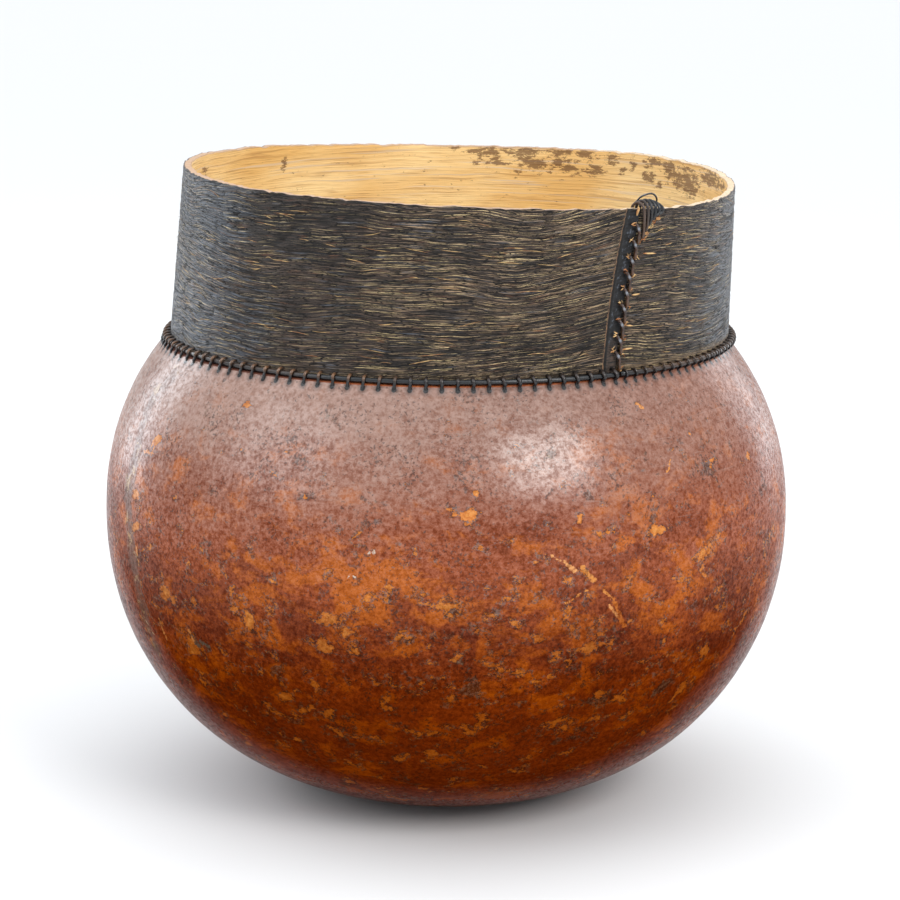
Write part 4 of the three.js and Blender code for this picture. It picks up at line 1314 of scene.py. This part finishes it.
# One thread round and round the joint: out through the collar, over the welt cord, in through the
# gourd, and up inside to the next stitch
def makeJointLacing():
    count = stitchRule["count"]
    stitch = np.arange(count)
    bearing = stitchBearing(stitch)
    half = (stitchBearing(stitch + 1) - bearing) / 2
    shake = flatNoise(stitch * 1.7, 0, 91)
    nearSeam = np.maximum(easeBetween(stitch, 30, 8), easeBetween(stitch, 106, 114))
    lean = 0.2 * flatNoise(stitch * 1.3, 0, 92) - 0.3 * nearSeam
    ringOut = cords["weltRadius"] + cords["threadDepth"] + 0.00005
    drop = np.interp(stitch, cords["dropAt"], cords["drop"])
    rise = np.interp(stitch, cords["riseAt"], cords["rise"])
    collarHole = mouthAt(collarPoint(bearing, gourd["mouthHeight"], 0)[:, 0]) + rise + 0.0003 * shake

    def overWelt(angle):
        turn = math.radians(angle)
        shifted = bearing + lean * (angle + 40) / 90
        return weltPoint(shifted, ringOut * math.cos(turn), ringOut * math.sin(turn))

    stops = [
        collarPoint(bearing + lean, collarHole, collar["thickness"] + 0.0010),
        collarPoint(bearing + lean, collarHole, 0.0012),
        collarPoint(bearing + lean, collarHole + 0.0001, -0.0008),
        overWelt(62), overWelt(18), overWelt(-28),
        wallAt(bearing, -0.0008, 0.0006),
        wallAt(bearing, -drop + 0.0001, -0.0012),
        wallAt(bearing, -drop - 0.0002, -gourd["wall"] - 0.0006),
        wallAt(bearing + half, -0.0004, -0.0010, gourd["wall"]),
    ]
    path = smoothPath(np.stack(stops, axis=1).reshape(-1, 3), cords["threadSteps"])
    pathStitch = np.arange(len(path)) / (len(stops) * cords["threadSteps"])
    ringBearing = np.interp(pathStitch, stitch, bearing)
    across = placeAt(ringBearing + 90, 1.0, 0.0)
    phase = np.arange(len(path)) / cords["threadSteps"] % len(stops)
    top = peakAt(phase, 3.2, 1.0)
    away = wrapped(ringBearing)
    rubbed = 0.12 + 0.75 * easeBetween(-away, 4, 18) * easeBetween(away, -130, -80)
    rubbed = rubbed + 0.2 * easeBetween(away, 36, 44)
    patchy = 0.5 + 0.5 * flatNoise(ringBearing / 5, 0, 93)
    worn = (top * rubbed * (0.5 + 0.5 * patchy))[:, None] + np.zeros(cords["threadSides"])
    # Painted highlights: pale glints on the upward side of each stitch's top, strongest on the stitches at
    # the front
    shown = easeBetween(away, -14, 0) * easeBetween(away, 36, 33)
    paintedGlint = 0.45 * (peakAt(phase, 3.5, 0.35) * (0.15 + 0.85 * shown))[:, None]
    facingUp = np.cos(ringTurns(cords["threadSides"]) + 0.9)
    paintedGlint = paintedGlint * facingUp.clip(0)
    stretch = np.interp(stitch, cords["stretchAt"], cords["stretch"])
    size = np.interp(pathStitch, stitch, stretch)
    return makeThread(
        "joint_thread", path, across, size * cords["threadWidth"], size * cords["threadDepth"],
        cords["threadSides"], darkCord, worn, paintedGlint,
    )


seamStitches = {
    "count": 9, "top": 0.3154, "pitch": 0.0077, "drop": 0.0094, "left": -1.0, "right": 0.6,
    "standOff": 0.0010, "steps": 5, "sides": 10,
}


# Heights of the seam's holes: those in the tongue, and those in the right-hand end
def seamHoles():
    top = seamStitches["top"] - seamStitches["pitch"] * np.arange(seamStitches["count"])
    return top, top - seamStitches["drop"]


# Slanted stitches, each from a hole in the tongue down to a hole in the right-hand end
def makeSeamLacing():
    top, low = seamHoles()
    inside = collar["thickness"] + 0.0010
    leftBearing = seamBearing(top) + seamStitches["left"]
    rightBearing = seamBearing(low) + seamStitches["right"]
    off = seamStitches["standOff"]
    # From the left hole a short slant over the seam, then a straight leg down its right side
    def onFace(share, shift, out):
        height = top + share * (low - top)
        return collarPoint(seamBearing(height) + shift, height, -out)

    stops = [
        collarPoint(leftBearing, top, inside), collarPoint(leftBearing, top, 0.0016),
        onFace(0.03, seamStitches["left"] + 0.08, off * 0.7), onFace(0.20, -0.42, off * 1.15),
        onFace(0.42, 0.08, off), onFace(0.72, 0.30, off * 0.8), onFace(0.95, 0.5, off * 0.3),
        collarPoint(rightBearing, low, 0.0018), collarPoint(rightBearing, low, inside),
    ]
    path = smoothPath(np.stack(stops, axis=1).reshape(-1, 3), seamStitches["steps"])
    across = np.tile(placeAt(seam["bearing"] + 90, 1.0, 0.0), (len(path), 1))
    twist = np.cumsum(np.linalg.norm(np.diff(path, axis=0, prepend=path[:1]), axis=1)) / 0.0042
    width = cords["seamWidth"]
    rings = threadRings(path, across, width, width, seamStitches["sides"])
    turn = ringTurns(seamStitches["sides"])
    strands = 1 + 0.13 * np.cos(2 * (turn[None, :] - 2 * np.pi * twist[:, None] / 2))
    rings = path[:, None] + (rings - path[:, None]) * strands[..., None]
    faces = threadFaces(len(rings), seamStitches["sides"])
    phase = np.arange(len(path)) / seamStitches["steps"] % len(stops)
    worn = 0.45 * peakAt(phase, 6.2, 0.9)[:, None] + np.zeros(seamStitches["sides"])
    # Painted highlights: pale glints on the side of each stitch's slant that faces out to the front right
    towardsFace = ((rings - path[:, None]) * placeAt(seam["bearing"] + 20, 1.0, 0.0)).sum(axis=-1)
    faceOut = 0.5 + 0.5 * np.sign(towardsFace)
    paintedGlint = 0.7 * peakAt(phase, 3.1, 0.42)[:, None] * faceOut
    return makePiece(
        "seam_thread", rings, faces, [seamCord], cornerUv=threadUv(rings),
        marks={"worn": worn, "paintedGlint": paintedGlint},
    )


binding = {
    "turns": 6, "topBearing": 37.8, "topPitch": 1.02, "holeBearing": 38.6, "holePitch": 0.80,
    "holeHeight": 0.3085, "holeClimb": 0.0098, "standOff": 0.0010, "bow": 0.0028, "steps": 5, "sides": 10,
    "looseEnd": [
        (44.0, 0.0062, -0.0015), (44.5, 0.0056, 0.0026), (43.6, 0.0046, 0.0053), (42.2, 0.0042, 0.0066),
        (40.6, 0.0044, 0.0062), (39.5, 0.0056, 0.0046), (39.0, 0.0072, 0.0018),
    ],
}


# A short coil over the rim: up the face, over the edge, down behind and through to the next hole
def makeRimBinding():
    turn = np.arange(binding["turns"])
    share = turn / (binding["turns"] - 1)
    holeBearing = binding["holeBearing"] + binding["holePitch"] * turn
    holeHeight = binding["holeHeight"] + binding["holeClimb"] * np.sin(np.radians(90 * share))
    topBearing = binding["topBearing"] + binding["topPitch"] * turn
    rim = rimHeight(topBearing)
    off, thickness = binding["standOff"], collar["thickness"]
    between, behind = (holeBearing + topBearing) / 2, thickness + off
    bow = binding["bow"] * np.sin(np.pi * (0.22 + 0.68 * share))
    stops = [
        collarPoint(holeBearing, holeHeight, behind), collarPoint(holeBearing, holeHeight - 0.0002, 0.0014),
        collarPoint(holeBearing - 0.05, holeHeight + 0.0010, -off * 0.7),
        collarPoint(between + 0.35, (holeHeight + rim) / 2, -off * 1.1),
        collarPoint(topBearing + 0.45, rim - 0.0006 + bow * 0.5, -off * 1.3),
        collarPoint(topBearing, rim + off + bow, thickness * 0.25),
        collarPoint(topBearing - 0.35, rim + off + bow * 0.8, thickness * 0.75),
        collarPoint(topBearing - 0.3, rim - 0.0010, behind),
    ]
    path = np.stack(stops, axis=1).reshape(-1, 3)
    loose = np.array(binding["looseEnd"])
    loosePath = collarPoint(loose[:, 0], rimHeight(loose[:, 0]) + loose[:, 2], loose[:, 1])
    path = smoothPath(np.concatenate([path, loosePath]), binding["steps"])
    across = np.tile(placeAt(binding["holeBearing"] + 90, 1.0, 0.0), (len(path), 1))
    stop = np.arange(len(path)) / binding["steps"]
    coiled = binding["turns"] * len(stops)
    width = cords["bindingWidth"] * np.interp(stop, [coiled - 1, coiled + 1], [1.0, 0.62])
    across[stop > coiled] = placeAt(41.0, 1.0, 0.0)
    worn = np.interp(stop, [0, len(stops), 2 * len(stops), 3 * len(stops)], [0.3, 0.2, 0.05, 0.0])
    worn = worn[:, None] + np.zeros(binding["sides"])
    phase = stop % len(stops)
    # Painted highlights: pale glints on the upward side of the turns' tops, and along the loose loop
    lit = np.interp(stop, [0, 12, 20, coiled, coiled + 1], [0.2, 0.5, 0.9, 0.7, 0.0])
    top = peakAt(phase, 4.0, 0.7) * lit
    loop = 0.8 * np.exp(-((stop - coiled - 3.6) / 1.4) ** 2)
    facingUp = np.cos(ringTurns(binding["sides"]) - 2.2).clip(0)
    paintedGlint = (top + loop)[:, None] * facingUp
    return makeThread("rim_coil", path, across, width, width, binding["sides"], darkCord, worn, paintedGlint)


for piece, node, slot in [
    (makeWelt(), "welt_cord", "dark_cord"),
    (makeJointLacing(), "joint_lacing", "dark_cord"),
    (makeSeamLacing(), "seam_lacing", "seam_thread"),
    (makeRimBinding(), "rim_binding", "dark_cord"),
]:
    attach(piece, "root")
    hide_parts(node)
    print(piece.name, "made,", len(piece.data.polygons), "faces")


# Splinters

splinters = {
    "seed": 7, "loose": 260, "footMargin": 0.006, "margins": 0.010, "leanSpread": 6, "sway": 0.0015,
    "length": (0.004, 0.016), "width": (0.00010, 0.00022), "lift": 0.0004,
    "steps": 5, "sides": 4, "tufts": 4, "coilTufts": 7,
    "tuftLength": (0.0010, 0.0026), "tuftWidth": (0.00018, 0.00034),
    "chip": (36.9, 321.8, 3.2, 0.0018),
    "long": [(38.9, 300.5, 9.0, -4), (34.7, 254.6, 7.0, 2), (36.6, 281.0, 5.0, 3), (35.6, 266.0, 4.0, -6)],
}


# Thin tapering slivers that lie on the collar: each is a thread whose ends come to a point
def sliverRings(bearing, height, length, width, lean, lift, sway):
    steps = splinters["steps"]
    share = np.linspace(-0.5, 0.5, steps)
    level = length[:, None] * share * np.cos(lean)[:, None]
    bearings = bearing[:, None] + np.degrees(level / collar["baseRadius"])
    heights = height[:, None] + length[:, None] * share * np.sin(lean)[:, None] + sway[:, None] * share ** 2
    out = lift[:, None] * (0.35 + 0.65 * (share + 0.5))
    path = collarPoint(bearings, heights, -out)
    taper = (1 - (2 * share) ** 2) ** 0.5 * 0.85 + 0.15
    turn = ringTurns(splinters["sides"])
    outward = placeAt(bearings, 1.0, 0.0)
    upward = np.array([0.0, 0.0, 1.0])
    thick = width[:, None] * taper
    return path[:, :, None] + upward * (thick[..., None] * np.cos(turn))[..., None] \
        + outward[:, :, None] * (0.5 * thick[..., None] * np.sin(turn))[..., None]


def makeSplinters():
    draw = np.random.default_rng(splinters["seed"])

    def between(limits, size):
        return draw.uniform(*limits, size)

    count = splinters["loose"]
    bearing = draw.uniform(-318, 28, count)
    foot = footHeight(bearing)
    room = rimHeight(bearing) - foot - splinters["margins"]
    height = foot + splinters["footMargin"] + draw.uniform(0, 1, count) * room
    length, width = between(splinters["length"], count), between(splinters["width"], count)
    lean = np.radians(draw.normal(0, splinters["leanSpread"], count))
    lift = draw.uniform(0.0, splinters["lift"], count)
    sway = draw.normal(0, splinters["sway"], count)
    groups = [(bearing, height, length, width, lean, lift, sway)]

    top, low = seamHoles()
    for heights, offset in [(top, seamStitches["left"] - 0.25), (low, seamStitches["right"] + 0.3)]:
        spots = np.repeat(heights, splinters["tufts"])
        size = len(spots)
        groups.append((
            seamBearing(spots) + offset + draw.normal(0, 0.22, size),
            spots + draw.normal(0.0004, 0.0007, size),
            between(splinters["tuftLength"], size), between(splinters["tuftWidth"], size),
            np.radians(draw.uniform(-80, 80, size)), draw.uniform(0.0003, 0.0012, size), np.zeros(size),
        ))
    turns = np.repeat(np.arange(binding["turns"]), splinters["coilTufts"])
    spots = binding["holeBearing"] + binding["holePitch"] * turns
    climb = binding["holeClimb"] * np.sin(np.pi / 2 * turns / (binding["turns"] - 1))
    size = len(spots)
    groups.append((
        spots + draw.normal(0.2, 0.3, size),
        binding["holeHeight"] + climb + draw.normal(-0.0008, 0.0006, size),
        between(splinters["tuftLength"], size), between(splinters["tuftWidth"], size),
        np.radians(draw.uniform(-30, 90, size)), draw.uniform(0.0003, 0.001, size), np.zeros(size),
    ))
    long = np.array(splinters["long"])
    groups.append((
        long[:, 0] + np.degrees(long[:, 2] / 2000 / collar["baseRadius"]),
        long[:, 1] / 1000, long[:, 2] / 1000,
        np.full(len(long), 0.0004), np.radians(long[:, 3]), np.full(len(long), 0.0006), np.zeros(len(long)),
    ))
    chipBearing, chipHeight, chipLength, chipWidth = splinters["chip"]
    groups.append(tuple(np.array([value]) for value in (
        chipBearing, chipHeight / 1000, chipLength / 1000, chipWidth, math.radians(70), 0.0012, 0.0,
    )))
    rings = np.concatenate([sliverRings(*group) for group in groups])
    template = threadFaces(splinters["steps"], splinters["sides"])
    offsets = np.arange(len(rings)) * splinters["steps"] * splinters["sides"]
    faces = [[corner + offset for corner in face] for offset in offsets.tolist() for face in template]
    atHoles = np.repeat(np.arange(len(rings)) >= count, len(template))
    return makePiece("bark_splinters", rings, faces, [looseFibre, holeFibre], looks=atHoles, smooth=False)


splinterPiece = makeSplinters()
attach(splinterPiece, "root")
print("splinters made,", len(splinterPiece.data.polygons), "faces")


# Floor, lights and camera

stageLooks = {
    "floorSize": 60.0, "floor": (0.72, 0.72, 0.72, 1),
    "sky": (0.94, 0.97, 1.0, 1), "skyLow": 0.60, "skyHigh": 1.80,
    "lights": [
        # name, place, aim, width, height, watts, colour
        ("key softbox", (1.00, -1.38, 1.18), (0.03, -0.1, 0.2), 0.90, 0.80, 21, (1.0, 0.99, 0.97)),
        ("left fill", (-1.45, -0.75, 1.05), (-0.05, 0, 0.2), 1.1, 1.1, 7.5, (0.93, 0.96, 1.0)),
        ("left strip", (-1.5, 1.15, 0.6), (0, 0, 0.2), 0.8, 1.2, 11, (0.88, 0.94, 1.0)),
        ("right strip", (1.35, 1.5, 0.6), (0, 0, 0.2), 0.8, 1.2, 6, (0.93, 0.96, 1.0)),
    ],
}
cameraSetup = {
    "place": (0, -1.600, 0.51195), "aim": (0.0016055, 0, 0.17822),
    "lens": 123.38, "sensor": 36, "roll": 0.0163,
}


def turnedTowards(place, aim, roll=0.0):
    back = (Vector(place) - Vector(aim)).normalized()
    right = Vector((0, 0, 1)).cross(back).normalized()
    up = back.cross(right)
    turnedRight = right * math.cos(roll) + up * math.sin(roll)
    turnedUp = up * math.cos(roll) - right * math.sin(roll)
    turn = Matrix((turnedRight, turnedUp, back)).transposed()
    return Matrix.Translation(place) @ turn.to_4x4()


def makeStage():
    material, shader = newMaterial("floor", Roughness=0.7)
    shader["Base Color"].default_value = stageLooks["floor"]
    side = stageLooks["floorSize"] / 2
    corners = np.array([(-side, -side, 0), (side, -side, 0), (side, side, 0), (-side, side, 0)])
    floor = makePiece("floor", corners, [[0, 1, 2, 3]], [material], smooth=False)
    world = bpy.data.worlds.new("studio")
    bpy.context.scene.world = world
    world.use_nodes = True
    building["tree"] = world.node_tree
    background = world.node_tree.nodes["Background"].inputs
    background["Color"].default_value = stageLooks["sky"]
    height = separated(addNode("ShaderNodeTexCoord")["Generated"])[2]
    strength = addNode("ShaderNodeMapRange", {
        "Value": height, "To Min": stageLooks["skyLow"], "To Max": stageLooks["skyHigh"],
    })
    link(strength["Result"], background["Strength"])
    for name, place, aim, width, height, watts, colour in stageLooks["lights"]:
        data = bpy.data.lights.new(name, "AREA")
        data.shape, data.size, data.size_y = "RECTANGLE", width, height
        data.energy, data.color = watts, colour
        light = bpy.data.objects.new(name, data)
        light.matrix_world = turnedTowards(place, aim)
        bpy.context.scene.collection.objects.link(light)


def makeCamera():
    data = bpy.data.cameras.new("camera")
    data.lens, data.sensor_width = cameraSetup["lens"], cameraSetup["sensor"]
    data.sensor_fit = "AUTO"
    camera = bpy.data.objects.new("camera", data)
    camera.matrix_world = turnedTowards(cameraSetup["place"], cameraSetup["aim"], cameraSetup["roll"])
    bpy.context.scene.collection.objects.link(camera)
    bpy.context.scene.camera = camera


makeStage()
makeCamera()
bpy.context.scene.view_settings.view_transform = "Standard"
print("stage set")
